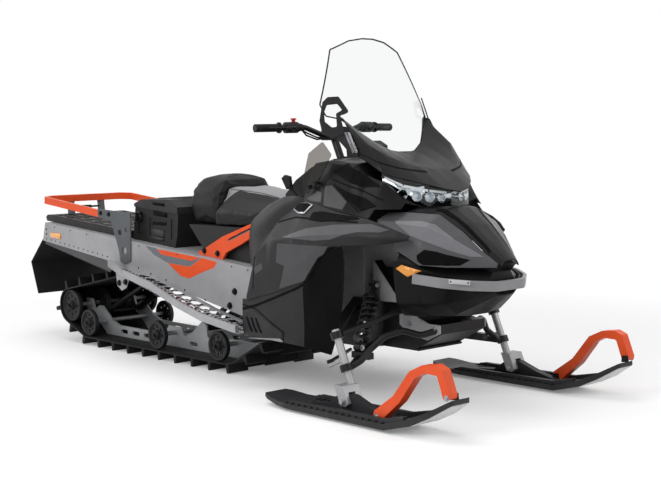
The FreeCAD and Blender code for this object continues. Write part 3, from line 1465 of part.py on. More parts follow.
def make_ski():
    """Right ski: keel, upturned tip and tail, raised spine under the knuckle, edge ribs."""
    half = "sizes.ski_half_width"
    under = [from_tail(0, 30.0), from_tail(100, 14.0), from_tail(190, 10.0), from_tip(285, 10.0), from_tip(170, 40.0)]
    under += [from_tip(90, 78.0), from_tip(0, 134.0)]
    over = [from_tip(4, 148.0), from_tip(96, 98.0), from_tip(180, 62.0), from_tip(290, 32.0), from_tail(190, 30.0)]
    over += [from_tail(100, 31.0), from_tail(0, 44.0)]
    profile = ski_view("ski_profile", under + over, f"-{half}", half)
    plan = new_body("ski_plan")
    middle = "-sizes.ski_stance_half"
    right = [(f"{TAIL}", 52.0), (f"{TAIL} + 28", 68.0), (f"{TAIL} + 150", half), (f"{TIP} - 230", half)]
    right += [(f"{TIP} - 90", 74.0), (f"{TIP} - 12", 50.0), (f"{TIP}", 38.0)]
    outline = [(x, f"{middle} - {y}") for x, y in right] + [(x, f"{middle} + {y}") for x, y in right[::-1]]
    plan_pad(plan, outline, -10.0, 300.0)
    blade = shared("ski_blade", profile, plan)
    keel_line = [from_tail(85, 16.0), from_tail(160, 0.0), from_tip(310, 0.0), from_tip(255, 16.0)]
    keel = ski_view("ski_keel", keel_line + [from_tip(255, 26.0), from_tail(85, 26.0)], -12.0, 12.0)
    pivot = "sizes.ski_pivot_place"
    spine_line = [from_tail(150, 28.0), (f"{pivot} - 105", 42.0), (f"{pivot} - 35", 90.0), (f"{pivot} + 30", 90.0)]
    spine_line += [(f"{pivot} + 115", 60.0), from_tip(300, 30.0)]
    spine_half = "sizes.ski_fork_gap / 2 - 1"
    spine = ski_view("ski_spine", spine_line, f"-({spine_half})", spine_half)
    rib_line = [from_tail(130, 28.0), from_tail(190, 44.0), from_tip(300, 48.0), from_tip(195, 70.0)]
    rib_line += [from_tip(195, 52.0), from_tip(300, 28.0)]
    ribs = [ski_view("ski_rib_outer", rib_line, 62.0, 82.0), ski_view("ski_rib_inner", rib_line, -82.0, -62.0)]
    reach = Vector(0, size("ski_fork_width") / 2, 0)
    bolt = rod("ski_bolt", PIVOT - reach, PIVOT + reach, "sizes.ski_bolt_radius")
    return fused("ski_right", blade, keel, spine, *ribs, bolt)


def make_ski_loop():
    """Right ski's handle: a bent strap from the blade's middle to its tip."""
    body = new_body("ski_loop_right")
    outline = [from_tip(372, 32.3), from_tip(330, 32.3), from_tip(240, 108.0), from_tip(165, 205.0)]
    outline += [from_tip(120, 228.0), from_tip(62, 226.0), from_tip(33, 146.0), from_tip(8, 150.0)]
    outline += [from_tip(4, 166.0), from_tip(36, 248.0), from_tip(72, 262.0), from_tip(130, 254.0)]
    outline += [from_tip(190, 226.0), from_tip(270, 128.0), from_tip(362, 64.0)]
    inner = "sizes.ski_stance_half + sizes.ski_fork_gap / 2 - 1 + 2 * sizes.seat_gap"
    side_pad(body, outline, inner, "sizes.ski_stance_half + 56", 9.0)
    return body


def tube(points, radius, bend=0.0):
    """A round bar along straight runs joined by tangent arcs."""
    path = rounded_wire(points, bend, closed=False)
    ring = Part.Wire(Part.makeCircle(radius, points[0], points[1] - points[0]))
    return path.makePipeShell([ring], True, False)


def chassis_room():
    """The chassis block's width with its seat gap, which trims the arms' inner ends flat."""
    half = size("block_half_width") + size("seat_gap")
    return Part.makeBox(500.0, 2 * half, 500.0, Vector(790.0, -half, 150.0))


def arm_ring(height, radius, tall):
    """Upright cylinder set on the steering axis, as a shape."""
    ring = Part.makeCylinder(radius, tall, Vector(0, 0, -tall / 2))
    ring.Placement = column_place(height)
    return ring


def make_lower_arm():
    """Right lower suspension arm: two bent tubes, the shock's saddle and the knuckle's ring."""
    radius = size("arm_tube_radius")
    end = spindle_point(LOWER_JOINT_HEIGHT, -size("spindle_offset") + size("column_radius") + 7.0)
    rear_line = [Vector(817.0, -112.0, 243.0), Vector(850.0, -280.0, 205.0), end]
    front_line = [Vector(1104.0, -112.0, 299.0), Vector(1052.0, -170.0, 276.0), Vector(1010.0, -222.0, 298.0)]
    front_line += [Vector(975.0, -285.0, 278.0), Vector(948.0, -335.0, 232.0), Vector(950.0, -385.0, 196.0), end]
    saddle = Part.makeBox(90.0, 30.0, SHOCK_FOOT.z - EYE_RADIUS - 192.0, Vector(856.0, -345.0, 192.0))
    pieces = [tube(front_line, radius, 60.0), saddle, arm_ring(LOWER_JOINT_HEIGHT, size("column_radius") + 9.0, 26.0)]
    arm = tube(rear_line, radius, 120.0).fuse(pieces)
    bore = arm_ring(LOWER_JOINT_HEIGHT, size("column_radius") + size("seat_gap"), 90.0)
    return arm.cut([bore, chassis_room()])


def make_upper_arm():
    """Right upper suspension arm: two slim tubes to the block and to the cradle's side plate."""
    radius = 9.5
    end = spindle_point(UPPER_JOINT_HEIGHT, -size("spindle_offset") + size("column_radius") + 5.0)
    front = tube([Vector(978.0, -112.0, 384.0), end], radius)
    rear = tube([Vector(742.0, -201.0, 360.0), end], radius)
    arm = rear.fuse([front, arm_ring(UPPER_JOINT_HEIGHT, size("column_radius") + 9.0, 26.0)])
    bore = arm_ring(UPPER_JOINT_HEIGHT, size("column_radius") + size("seat_gap"), 90.0)
    beside = Part.makeBox(300.0, 2 * (200.0 + size("seat_gap")), 300.0, Vector(500.0, -200.0 - size("seat_gap"), 200.0))
    return arm.cut([bore, chassis_room(), beside])


def make_front_arms():
    """Both pairs of suspension arms."""
    lower = shaped("lower_arm_right", make_lower_arm())
    upper = shaped("upper_arm_right", make_upper_arm())
    return pair("front_arms", lower, upper)


EYE_RADIUS = 16.0
SHOCK_HEAD = Vector(818.0, -(TOWER_HALF_WIDTH + size("seat_gap") + EYE_RADIUS), 452.0)
SHOCK_FOOT = Vector(882.0, -330.0, 232.0)


def coil_spring(start, stop, coil_radius, wire_radius, turns):
    """A helical spring drawn through six-sided sections, ten to a turn."""
    heading = stop - start
    turned = Rotation(Vector(0, 0, 1), heading)
    sections = []
    steps = 10 * turns
    for step in range(steps + 1):
        angle = 2 * math.pi * step / 10
        out = Vector(math.cos(angle), math.sin(angle), 0)
        centre = out * coil_radius + Vector(0, 0, heading.Length * step / steps)
        ring = []
        for corner in range(6):
            around = math.pi * corner / 3
            local = centre + out * (wire_radius * math.cos(around)) + Vector(0, 0, wire_radius * math.sin(around))
            ring.append(start + turned.multVec(local))
        sections.append(Part.makePolygon(ring + ring[:1]))
    return Part.makeLoft(sections, True, True)


def round_bar(start, stop, radius):
    """A round bar from one point to another, as a shape."""
    return Part.makeCylinder(radius, (stop - start).Length, start, stop - start)


def make_front_shocks():
    """Coil-over shocks from the towers down to the lower arms."""
    start = SHOCK_HEAD
    stop = SHOCK_FOOT
    heading = stop - start
    body_radius = 15.0
    coil_radius = 27.0
    wire_radius = 5.0
    spring_share = (0.2, 0.86)
    cap = 6.0
    eye_half = 16.0
    at = [start + heading * share for share in (0.05, 0.6, 0.55)]
    pieces = [round_bar(at[1], stop, body_radius * 0.55)]
    for middle in (start, stop):
        pieces.append(Part.makeCylinder(EYE_RADIUS, 2 * eye_half, middle - Vector(eye_half, 0, 0), Vector(1, 0, 0)))
    unit = Vector(heading).normalize()
    for share in spring_share:
        plate = start + heading * share
        pieces.append(round_bar(plate, plate + unit * cap, coil_radius + wire_radius))
    ends = [start + heading * share + unit * (cap / 2) for share in spring_share]
    pieces.append(coil_spring(*ends, coil_radius, wire_radius, 7))
    shock = round_bar(at[0], at[1], body_radius).fuse(pieces)
    return pair("front_shocks", shaped("front_shock_right", shock))


def make_tie_rod():
    """Right steering link from the knuckle's arm inwards to the steering box."""
    tall = 14.0
    lever_half = 6.0
    foot = Vector(-ARM_REACH, 0.0, lever_half + size("seat_gap"))
    eye = column_cylinder("tie_rod_eye", ARM_HEIGHT, 13.0, tall, foot)
    centre = column_place(ARM_HEIGHT).multVec(foot + Vector(0, 0, tall / 2))
    link = rod("tie_rod_link", centre, Vector(705.0, -205.0, 188.0), 7.0)
    return fused("tie_rod_right", eye, link)


# Handlebar

BAR_END = Vector(352.0, -385.0, 1066.0)
BAR_BEND = Vector(388.0, -150.0, 1068.0)
BAR_CLAMP = Vector(BAR_CENTRE.x, -60.0, BAR_CENTRE.z)


def bar_shape(radius):
    """The bent bar's course with any radius."""
    half = [BAR_END, BAR_BEND, BAR_CLAMP]
    path = half + [Vector(p.x, -p.y, p.z) for p in half[::-1]]
    return tube(path, radius, 60.0)


def make_handlebar():
    """Steering post with the clamp block on its upper end, and the bent bar through the block."""
    post = rod("steering_post", post_point(10.0), post_point(300.0), "sizes.post_radius")
    spans = (50.0, 90.0, 44.0)
    clamp = block("bar_clamp", BAR_CENTRE - Vector(*spans) * 0.5, spans)
    bar = shaped("bent_bar", bar_shape(size("bar_tube_radius")))
    bore = shaped("bar_bore", bar_shape(size("bar_tube_radius") + 0.1))
    bored = less("bored_post", fused("post_and_clamp", post, clamp), bore)
    return together("handlebar", bored, bar)


def make_grips():
    """Rubber grips with inner flanges."""
    heading = Vector(BAR_BEND - BAR_END).normalize()
    length = size("grip_length")
    grip = rod("grip_sleeve", BAR_END, BAR_END + heading * length, "sizes.grip_radius")
    flange = rod("grip_flange", BAR_END + heading * (length - 4.0), BAR_END + heading * (length + 2.0), "sizes.grip_radius + 6")
    bore = rod("grip_bore", BAR_END - heading * 5.0, BAR_END + heading * (length + 15.0), "sizes.bar_tube_radius + sizes.seat_gap")
    return pair("grips", less("grip_right", fused("grip_and_flange", grip, flange), bore))


# Every sub-part in turn

def make_everything():
    """Build each named sub-part once."""
    keep(make_tunnel())
    keep(pair("running_boards", make_board(), make_board_rail()))
    keep(make_track())
    keep(make_track_wheels())
    keep(make_slide_rails())
    keep(make_suspension_arms())
    keep(make_rear_deck())
    keep(make_rack_loop())
    keep(make_rack_brackets())
    keep(make_snow_flap())
    keep(make_tail_light())
    keep(make_tow_hitch())
    keep(make_storage_box())
    keep(make_storage_lid())
    keep(make_seat())
    keep(make_backrest())
    keep(make_seat_base())
    keep(make_side_frames())
    keep(make_console())
    keep(make_bulkhead())
    keep(make_engine_block())
    keep(make_side_panels())
    keep(make_lower_panels())
    keep(make_hood())
    keep(make_visor())
    keep(make_headlight())
    keep(make_nose_panel())
    keep(make_nose_sides())
    keep(make_bumper())
    keep(make_belly_pan())
    keep(make_windshield())
    keep(make_screen_brackets())
    keep(make_side_deflectors())
    keep(make_front_arms())
    keep(make_front_shocks())
    keep(make_handlebar())
    keep(make_grips())
    for name, maker in (("spindle", make_spindle), ("ski", make_ski), ("ski_loop", make_ski_loop), ("tie_rod", make_tie_rod)):
        right = keep(maker())
        keep_twin(f"{name}_left", right)


def check_objects():
    """Stop at any object that failed, and at any pocket that took nothing away."""
    for item in DOCUMENT.Objects:
        if "Invalid" in item.State or "Error" in item.State:
            raise RuntimeError(f"{item.Label} did not build: {item.State}")
        if item.TypeId == "PartDesign::Pocket":
            taken = item.BaseFeature.Shape.Volume - item.Shape.Volume
            if taken < 1.0:
                raise RuntimeError(f"{item.Label} takes nothing away")


def write_parts():
    """Write one file for each sub-part."""
    os.makedirs("parts", exist_ok=True)
    for item in NODES:
        shape = item.Shape
        if shape.isNull() or not shape.isValid():
            raise RuntimeError(f"{item.Label} has no valid shape")
        solids = shape.Solids
        shape = solids[0] if len(solids) == 1 else Part.makeCompound(solids)
        shape.exportStep(os.path.join("parts", f"{item.Label}.step"))
        print(item.Label, len(solids), round(shape.Volume / 1000.0), "cm3")


make_everything()
DOCUMENT.recompute()
check_objects()
write_parts()
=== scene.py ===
# %% [markdown]
# # A utility snowmobile, dressed for the studio
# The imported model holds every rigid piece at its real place. This lesson gives each piece the finish of
# the real one and adds what moulding, sewing and assembly leave behind: seams, bolts, ribs and decals.

# %% The fixed frame
import math

import bmesh
import bpy
from mathutils import Matrix, Vector
from mathutils.bvhtree import BVHTree
from mathutils.geometry import tessellate_polygon


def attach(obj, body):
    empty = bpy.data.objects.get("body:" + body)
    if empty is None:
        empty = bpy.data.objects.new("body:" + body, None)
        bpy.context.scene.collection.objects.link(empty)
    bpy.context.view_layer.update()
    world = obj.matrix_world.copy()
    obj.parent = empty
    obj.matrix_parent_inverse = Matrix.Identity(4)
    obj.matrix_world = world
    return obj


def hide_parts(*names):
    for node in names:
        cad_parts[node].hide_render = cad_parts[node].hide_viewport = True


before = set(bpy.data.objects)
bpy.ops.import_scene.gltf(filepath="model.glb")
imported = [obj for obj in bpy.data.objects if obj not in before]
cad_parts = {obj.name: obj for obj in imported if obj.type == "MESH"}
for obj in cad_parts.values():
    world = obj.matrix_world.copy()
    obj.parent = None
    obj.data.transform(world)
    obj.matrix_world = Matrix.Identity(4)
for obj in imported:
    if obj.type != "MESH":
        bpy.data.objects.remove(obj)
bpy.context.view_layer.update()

# %% [markdown]
# ## Colours
# Paint and plastic colours are written as the sRGB hex values that a colour card gives, and shaders want
# linear light, so one function does the turning.

# %% One colour function


def paint(hex_value):
    """Turn an sRGB hex colour into the linear RGBA that a shader socket takes."""
    channels = [int(hex_value[i:i + 2], 16) / 255.0 for i in (1, 3, 5)]
    linear = [c / 12.92 if c <= 0.04045 else ((c + 0.055) / 1.055) ** 2.4 for c in channels]
    return (*linear, 1.0)


# %% [markdown]
# ## One node at a time
# A material is a small graph. One function adds a node, sets its plain values and joins its inputs, so
# that each material below reads as a list of what the real surface has.

# %% The node function


def add_node(material, kind, settings=None, **inputs):
    """Add one shader node, set its properties, and set or link its inputs.

    An input is named with _ for each space, or _0, _1 for its number. A node given as a value links its
    first output.
    """
    node = material.node_tree.nodes.new("ShaderNode" + kind)
    for name, value in (settings or {}).items():
        setattr(node, name, value)
    for name, value in inputs.items():
        socket = node.inputs[int(name[1:])] if name[0] == "_" else node.inputs[name.replace("_", " ")]
        if isinstance(value, bpy.types.Node):
            value = value.outputs[0]
        if isinstance(value, bpy.types.NodeSocket):
            material.node_tree.links.new(value, socket)
        else:
            socket.default_value = value
    return node


def reckon(material, operation, *values):
    """A Math node on one to three values."""
    numbered = {f"_{index}": value for index, value in enumerate(values)}
    return add_node(material, "Math", {"operation": operation}, **numbered)


def blank_material(name):
    """An empty material with its output node, ready for a graph."""
    material = bpy.data.materials.new(name)
    material.use_nodes = True
    material.node_tree.nodes.clear()
    return material


def finish(material, shader):
    """Join a shader to the material's output."""
    add_node(material, "OutputMaterial", Surface=shader)
    return material


# %% [markdown]
# ## The camera
# The photographer stood some four metres off the front right corner, at chest height. Place, heading and
# focal length were solved from the photograph. The drawing measures from the steering post's foot, and the
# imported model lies 60 mm further forward, so that distance has a name.

# %% Where the photographer stood
DATUM = 0.060
SENSOR_MM = 36.0
FOCAL_PIXELS = 1290.34
PHOTO_PIXELS = 661.0


def add_camera():
    """Place the camera at the photograph's viewing angle."""
    place = Vector((4.3626 + DATUM, -3.7016, 1.0420))
    yaw = math.radians(137.13)
    pitch = math.radians(-4.726)
    roll = math.radians(-0.723)
    look = Vector((math.cos(yaw) * math.cos(pitch), math.sin(yaw) * math.cos(pitch), math.sin(pitch)))
    data = bpy.data.cameras.new("camera")
    data.sensor_width = SENSOR_MM
    data.lens = FOCAL_PIXELS * SENSOR_MM / PHOTO_PIXELS
    camera = bpy.data.objects.new("camera", data)
    turn = look.to_track_quat("-Z", "Y").to_matrix().to_4x4()
    camera.matrix_world = Matrix.Translation(place) @ turn @ Matrix.Rotation(roll, 4, "Z")
    bpy.context.scene.collection.objects.link(camera)
    bpy.context.scene.camera = camera
    print("camera lens of", round(data.lens, 1), "mm")


add_camera()

# %% [markdown]
# ## The studio
# A product photograph on white has a pale sweep and very large soft lamps. The lamps stay at a plain level;
# the floor and the backdrop show white to the camera and in reflections by their own colour, through the
# Light Path node, and the floor still takes the shadow.

# %% Floor, backdrop and lamps
FLOOR_HALF = 30.0
SHADOW_REACH = 1.9
ALL_WHITE_FROM = 3.1
LAMP_AIM = Vector((0.1, 0, 0.5))
LAMPS = (("overhead", (-0.2, -0.6, 4.2), 3.2, 58.0), ("key", (1.2, -4.8, 3.0), 2.2, 80.0),
         ("nose_side", (4.6, 1.8, 2.6), 2.0, 40.0), ("rear_side", (-3.8, -2.6, 2.6), 2.0, 36.0))


def white_to_the_eye(material):
    """One where a camera, mirror or glass ray looks, zero where light only bounces."""
    rays = add_node(material, "LightPath")
    either = reckon(material, "MAXIMUM", rays.outputs["Is Camera Ray"], rays.outputs["Is Glossy Ray"])
    return reckon(material, "MAXIMUM", either, rays.outputs["Is Transmission Ray"])


def add_studio():
    """Pale floor, white surroundings and large soft lamps."""
    world = bpy.data.worlds.new("studio")
    bpy.context.scene.world = world
    world.use_nodes = True
    world.node_tree.nodes.clear()
    seen = white_to_the_eye(world)
    strength = add_node(world, "MapRange", Value=seen, To_Min=0.55, To_Max=1.0)
    light = add_node(world, "Background", Color=(1, 1, 1, 1), Strength=strength)
    add_node(world, "OutputWorld", Surface=light)
    plane = bmesh.new()
    bmesh.ops.create_grid(plane, x_segments=1, y_segments=1, size=FLOOR_HALF)
    data = bpy.data.meshes.new("floor")
    plane.to_mesh(data)
    floor = bpy.data.objects.new("floor", data)
    bpy.context.scene.collection.objects.link(floor)
    paper = blank_material("studio_paper")
    seen = white_to_the_eye(paper)
    place = add_node(paper, "TexCoord").outputs["Object"]
    away = add_node(paper, "VectorMath", {"operation": "LENGTH"}, _0=place)
    glow = add_node(paper, "MapRange", Value=seen, To_Min=0.0, To_Max=0.18)
    lit = add_node(paper, "BsdfDiffuse", Color=paint("#F0F0F0"))
    near = add_node(paper, "Emission", Color=(1, 1, 1, 1), Strength=glow)
    both = add_node(paper, "AddShader", _0=lit, _1=near)
    far = add_node(paper, "Emission", Color=(1, 1, 1, 1), Strength=seen)
    share = add_node(paper, "MapRange", Value=away.outputs["Value"], From_Min=SHADOW_REACH,
                     From_Max=ALL_WHITE_FROM)
    finish(paper, add_node(paper, "MixShader", _0=share, _1=both, _2=far))
    data.materials.append(paper)
    for name, place, size, power in LAMPS:
        lamp = bpy.data.lights.new(name, "AREA")
        lamp.size = size
        lamp.energy = power
        holder = bpy.data.objects.new(name, lamp)
        holder.location = place
        holder.rotation_euler = (LAMP_AIM - Vector(place)).to_track_quat("-Z", "Y").to_euler()
        bpy.context.scene.collection.objects.link(holder)
    bpy.context.scene.view_settings.view_transform = "Standard"
    print("studio with", len(LAMPS), "lamps")


add_studio()

# %% [markdown]
# ## What moulded, painted and cast surfaces share
# Every rigid surface here has a fine grain, a broad unevenness of gloss and an edge that isn't knife sharp.
# The grain and the unevenness are two noises on Object coordinates, whose scale is one over the real size
# in metres. The Bevel node rounds the shading at edges by about a millimetre, as tools and moulds do; a film
# thinner than that goes without. In an all-white studio black plastic mirrors white everywhere, so its
# mirror level is set below the usual half.

# %% The shared graph
UNEVEN_SCALE = 9.0
PLASTIC_MIRROR = 0.22


def surface(name, colour, second, rough, grain_mm, depth_mm, edge_mm=1.4, **shader):
    """A material with grain, uneven gloss and rounded edges, from two close colours."""
    material = blank_material(name)
    place = add_node(material, "TexCoord").outputs["Object"]
    grain = add_node(material, "TexNoise", Vector=place, Scale=1000.0 / grain_mm, Detail=3.0)
    broad = add_node(material, "TexNoise", Vector=place, Scale=UNEVEN_SCALE, Detail=4.0, Roughness=0.6)
    soft = add_node(material, "MapRange", Value=broad.outputs["Fac"], From_Min=0.35, From_Max=0.65)
    tint = add_node(material, "Mix", {"data_type": "RGBA"}, _0=soft, _6=paint(colour), _7=paint(second))
    gloss = add_node(material, "MapRange", Value=broad.outputs["Fac"], From_Min=0.3, From_Max=0.7,
                     To_Min=rough * 0.86, To_Max=rough * 1.16)
    bump = add_node(material, "Bump", Strength=0.5, Distance=depth_mm / 1000.0,
                    Height=grain.outputs["Fac"])
    if edge_mm:
        edge = add_node(material, "Bevel", {"samples": 4}, Radius=edge_mm / 1000.0)
        material.node_tree.links.new(edge.outputs[0], bump.inputs["Normal"])
    shader.setdefault("Specular_IOR_Level", PLASTIC_MIRROR)
    body = add_node(material, "BsdfPrincipled", Base_Color=tint.outputs[2], Roughness=gloss, Normal=bump,
                    **shader)
    return finish(material, body)


# %% [markdown]
# ## The finishes
# The hull is injection-moulded polypropylene and ABS: satin charcoal on the flanks, gloss on the nose.
# Suspension parts are powder-coated steel, which shows an orange-peel skin. The knuckles are cast
# aluminium with a sandy skin, and the tunnel is painted aluminium sheet.

# %% Moulded plastics and paints
satin_charcoal = surface("satin_charcoal_polypropylene", "#252527", "#202022", 0.42, 2.2, 0.05)
gloss_charcoal = surface("gloss_charcoal_abs", "#1C1C1D", "#171718", 0.36, 6.0, 0.02, Specular_IOR_Level=0.18)
gloss_black = surface("gloss_black_abs", "#0F0F10", "#0C0C0D", 0.36, 6.0, 0.02, Specular_IOR_Level=0.15)
grained_black = surface("grained_black_polyethylene", "#222223", "#1A1A1B", 0.55, 2.6, 0.12)
black_grey = surface("worn_black_grey_plastic", "#303032", "#28282A", 0.5, 2.4, 0.08)
cheek_grey = surface("moulded_mid_grey_abs", "#57575A", "#505053", 0.3, 5.0, 0.02)
cheek_light = surface("moulded_light_grey_abs", "#7C7C80", "#747478", 0.3, 5.0, 0.02, edge_mm=0)
panel_grey = surface("printed_grey_film", "#4B4B4D", "#464648", 0.38, 4.0, 0.02, edge_mm=0)
# The pale grey film is a painted highlight for the top of the fender.
fender_highlight_grey = surface("painted_highlight_grey_film", "#58585A", "#525254", 0.36, 4.0, 0.02, edge_mm=0)
bumper_grey = surface("moulded_silver_grey_plastic", "#9C9C9F", "#949497", 0.36, 4.0, 0.03)
orange_powder = surface("orange_powder_coat", "#EE5A2A", "#E65226", 0.32, 3.0, 0.05)
orange_film = surface("printed_orange_film", "#EE5825", "#E85222", 0.36, 4.0, 0.02, edge_mm=0)
blue_grey_film = surface("printed_blue_grey_film", "#6F747A", "#696E73", 0.36, 4.0, 0.02, edge_mm=0)
plate_grey = surface("grey_powder_coated_steel", "#5C5F62", "#55585B", 0.42, 3.0, 0.05)
black_powder = surface("black_powder_coated_steel", "#1B1B1C", "#151516", 0.34, 3.0, 0.06)
soft_rubber = surface("black_soft_rubber", "#1A1A1B", "#141415", 0.7, 2.4, 0.12)
track_rubber = surface("vulcanised_track_rubber", "#131314", "#1A1918", 0.62, 4.0, 0.3)
wheel_plastic = surface("glass_filled_nylon", "#252526", "#1E1E1F", 0.48, 2.4, 0.08)
white_plastic = surface("white_polyethylene", "#D9D9DA", "#CFCFD1", 0.4, 3.0, 0.03)
red_plastic = surface("red_moulded_plastic", "#C8261C", "#BC2018", 0.35, 3.0, 0.03)
void_black = surface("shadowed_opening_black", "#0B0B0C", "#090909", 0.6, 3.0, 0.05, edge_mm=0,
                     Specular_IOR_Level=0.06)
print("moulded and painted finishes:", len(bpy.data.materials))

# %% [markdown]
# Bare and plated metals differ in how much of a mirror they are. Zinc and the lamp's metallised cells are
# full metal; cast and anodised aluminium have a dull oxide skin, so they are part metal and rougher.

# %% Metals
tunnel_paint = surface("silver_painted_aluminium_sheet", "#A5A5A8", "#9D9DA0", 0.4, 5.0, 0.03, Metallic=0.25)
rail_metal = surface("anodised_aluminium", "#A9ABAD", "#9D9FA1", 0.42, 4.0, 0.04, Metallic=0.3)
cast_metal = surface("sand_cast_aluminium", "#A9A9AB", "#9D9D9F", 0.46, 1.8, 0.2, Metallic=0.6)
board_metal = surface("ground_aluminium_edge", "#A9A9AC", "#9C9DA0", 0.36, 3.0, 0.05, Metallic=0.55)
zinc = surface("zinc_plated_steel", "#A6A8AC", "#999B9F", 0.28, 3.0, 0.03, Metallic=1.0)
black_zinc = surface("black_zinc_steel", "#262627", "#1E1E1F", 0.35, 3.0, 0.03, Metallic=0.7)
chrome = surface("vacuum_metallised_reflector", "#E0E3E6", "#D4D7DA", 0.16, 8.0, 0.02, Metallic=1.0)

# %% [markdown]
# ## Clear and lit plastics
# The screen is polycarbonate sheet. A clear sheet is mostly what lies behind it plus a thin reflection that
# grows towards the edge of sight, so a Fresnel value mixes a transparent shader with a glossy one. The same
# graph with a darker tint makes the smoked deflectors and the lamp's cover. Only faces turned to the eye
# reflect, else light would be caught between the sheet's two skins and look black.

# %% The clear sheet


def clear_sheet(name, tint, index, rough):
    """A thin clear moulding: see-through with a reflection."""
    material = blank_material(name)
    place = add_node(material, "TexCoord").outputs["Object"]
    wave = add_node(material, "TexNoise", Vector=place, Scale=14.0, Detail=1.0)
    bump = add_node(material, "Bump", Strength=0.15, Distance=0.0006, Height=wave.outputs["Fac"])
    through = add_node(material, "BsdfTransparent", Color=paint(tint))
    mirror = add_node(material, "BsdfGlossy", Color=(0.9, 0.9, 0.9, 1), Roughness=rough, Normal=bump)
    share = add_node(material, "Fresnel", IOR=index)
    side = add_node(material, "NewGeometry")
    outside = reckon(material, "SUBTRACT", 1.0, side.outputs["Backfacing"])
    seen = reckon(material, "MULTIPLY", share, outside)
    return finish(material, add_node(material, "MixShader", _0=seen, _1=through, _2=mirror))


screen_clear = clear_sheet("clear_polycarbonate", "#FBFCFC", 1.2, 0.05)
lamp_clear = clear_sheet("clear_lamp_cover", "#F2F4F5", 1.5, 0.03)
smoked_clear = clear_sheet("smoked_polycarbonate", "#BFBCB9", 1.3, 0.08)

# %% [markdown]
# A reflector is a clear moulding over rows of tiny prisms. The prisms show as a fine honeycomb under a
# glossy skin, so a Voronoi cell pattern of 2.5 mm, coarser than the real 1 mm so that it shows, bumps it.

# %% Reflectors and tail lamp


def prism_lens(name, colour, cell_mm):
    """A coloured reflector or lamp lens with a cell pattern under a clear skin, and a faint painted glow."""
    material = blank_material(name)
    place = add_node(material, "TexCoord").outputs["Object"]
    cells = add_node(material, "TexVoronoi", {"feature": "DISTANCE_TO_EDGE"}, Vector=place,
                     Scale=1000.0 / cell_mm)
    bump = add_node(material, "Bump", Strength=0.6, Distance=0.0006, Height=cells.outputs["Distance"])
    # Painted glow: a faint emission in the lens colour stands for light the prisms send back.
    body = add_node(material, "BsdfPrincipled", Base_Color=paint(colour), Roughness=0.22, Normal=bump,
                    Coat_Weight=0.8, Emission_Color=paint(colour), Emission_Strength=0.12)
    return finish(material, body)


amber_lens = prism_lens("amber_reflector", "#F09A1E", 2.5)
red_lens = prism_lens("red_tail_lens", "#A3140F", 4.0)

# %% [markdown]
# ## Vinyl for the seat
# Seat vinyl is PVC on a knit backing, embossed with a leather-like grain of about 2 mm. The top panel is a
# paler grey cut from another roll. Where the panel ends is a line in plan that flares to the rear, so the
# colour is chosen from Object coordinates: inside the line and facing up it is pale, elsewhere black.

# %% Two-tone vinyl


def seat_vinyl(name, dark, pale):
    """Embossed vinyl whose top panel is a paler colour."""
    material = blank_material(name)
    place = add_node(material, "TexCoord").outputs["Object"]
    parts = add_node(material, "SeparateXYZ", Vector=place)
    across = reckon(material, "ABSOLUTE", parts.outputs["Y"])
    front = reckon(material, "MULTIPLY_ADD", parts.outputs["X"], -0.097, 0.101 + 0.097 * DATUM)
    rear = reckon(material, "MULTIPLY_ADD", parts.outputs["X"], -0.46, 0.068 + 0.46 * DATUM)
    inside = reckon(material, "LESS_THAN", across, reckon(material, "MAXIMUM", front, rear))
    facing = add_node(material, "NewGeometry")
    up = add_node(material, "SeparateXYZ", Vector=facing.outputs["Normal"])
    top = reckon(material, "GREATER_THAN", up.outputs["Z"], 0.25)
    both = reckon(material, "MULTIPLY", inside, top)
    tint = add_node(material, "Mix", {"data_type": "RGBA"}, _0=both, _6=paint(dark), _7=paint(pale))
    grain = add_node(material, "TexVoronoi", {"feature": "SMOOTH_F1"}, Vector=place, Scale=480.0)
    bump = add_node(material, "Bump", Strength=0.35, Distance=0.0006, Height=grain.outputs["Distance"])
    body = add_node(material, "BsdfPrincipled", Base_Color=tint.outputs[2], Roughness=0.5, Normal=bump,
                    Specular_IOR_Level=0.25)
    return finish(material, body)


cushion_vinyl = seat_vinyl("two_tone_embossed_vinyl", "#171718", "#8A8A8D")
bolster_vinyl = surface("black_embossed_vinyl", "#171718", "#131314", 0.55, 2.2, 0.35)

# %% [markdown]
# ## Finishes on the rigid pieces
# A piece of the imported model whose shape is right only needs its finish: the material goes in its slots.

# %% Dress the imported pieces
DRESS = {"tunnel": tunnel_paint, "running_boards": board_metal, "track": track_rubber,
         "track_wheels": wheel_plastic, "slide_rails": rail_metal, "suspension_arms": black_powder,
         "rear_deck": black_grey, "rack_loop": orange_powder, "rack_brackets": plate_grey,
         "snow_flap": grained_black, "tail_light": red_lens, "tow_hitch": black_powder,
         "storage_box": grained_black, "storage_lid": black_grey, "seat": cushion_vinyl,
         "backrest": bolster_vinyl, "seat_base": satin_charcoal, "side_frames": orange_powder,
         "console": grained_black, "bulkhead": black_powder, "engine_block": cast_metal,
         "side_panels": satin_charcoal, "lower_panels": satin_charcoal, "hood": gloss_black,
         "visor": gloss_charcoal, "headlight": lamp_clear, "nose_panel": gloss_charcoal,
         "nose_sides": cheek_grey, "front_bumper": bumper_grey, "belly_pan": gloss_black,
         "windshield": screen_clear, "screen_brackets": satin_charcoal, "side_deflectors": smoked_clear,
         "front_arms": black_powder, "front_shocks": black_powder, "handlebar": black_powder,
         "grips": soft_rubber}
for side in ("right", "left"):
    DRESS[f"spindle_{side}"] = cast_metal
    DRESS[f"ski_{side}"] = black_grey
    DRESS[f"ski_loop_{side}"] = orange_powder
    DRESS[f"tie_rod_{side}"] = black_zinc
for name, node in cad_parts.items():
    materials = node.data.materials
    if not materials:
        materials.append(DRESS[name])
    for index in range(len(materials)):
        materials[index] = DRESS[name]
print("dressed", len(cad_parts), "packed pieces")
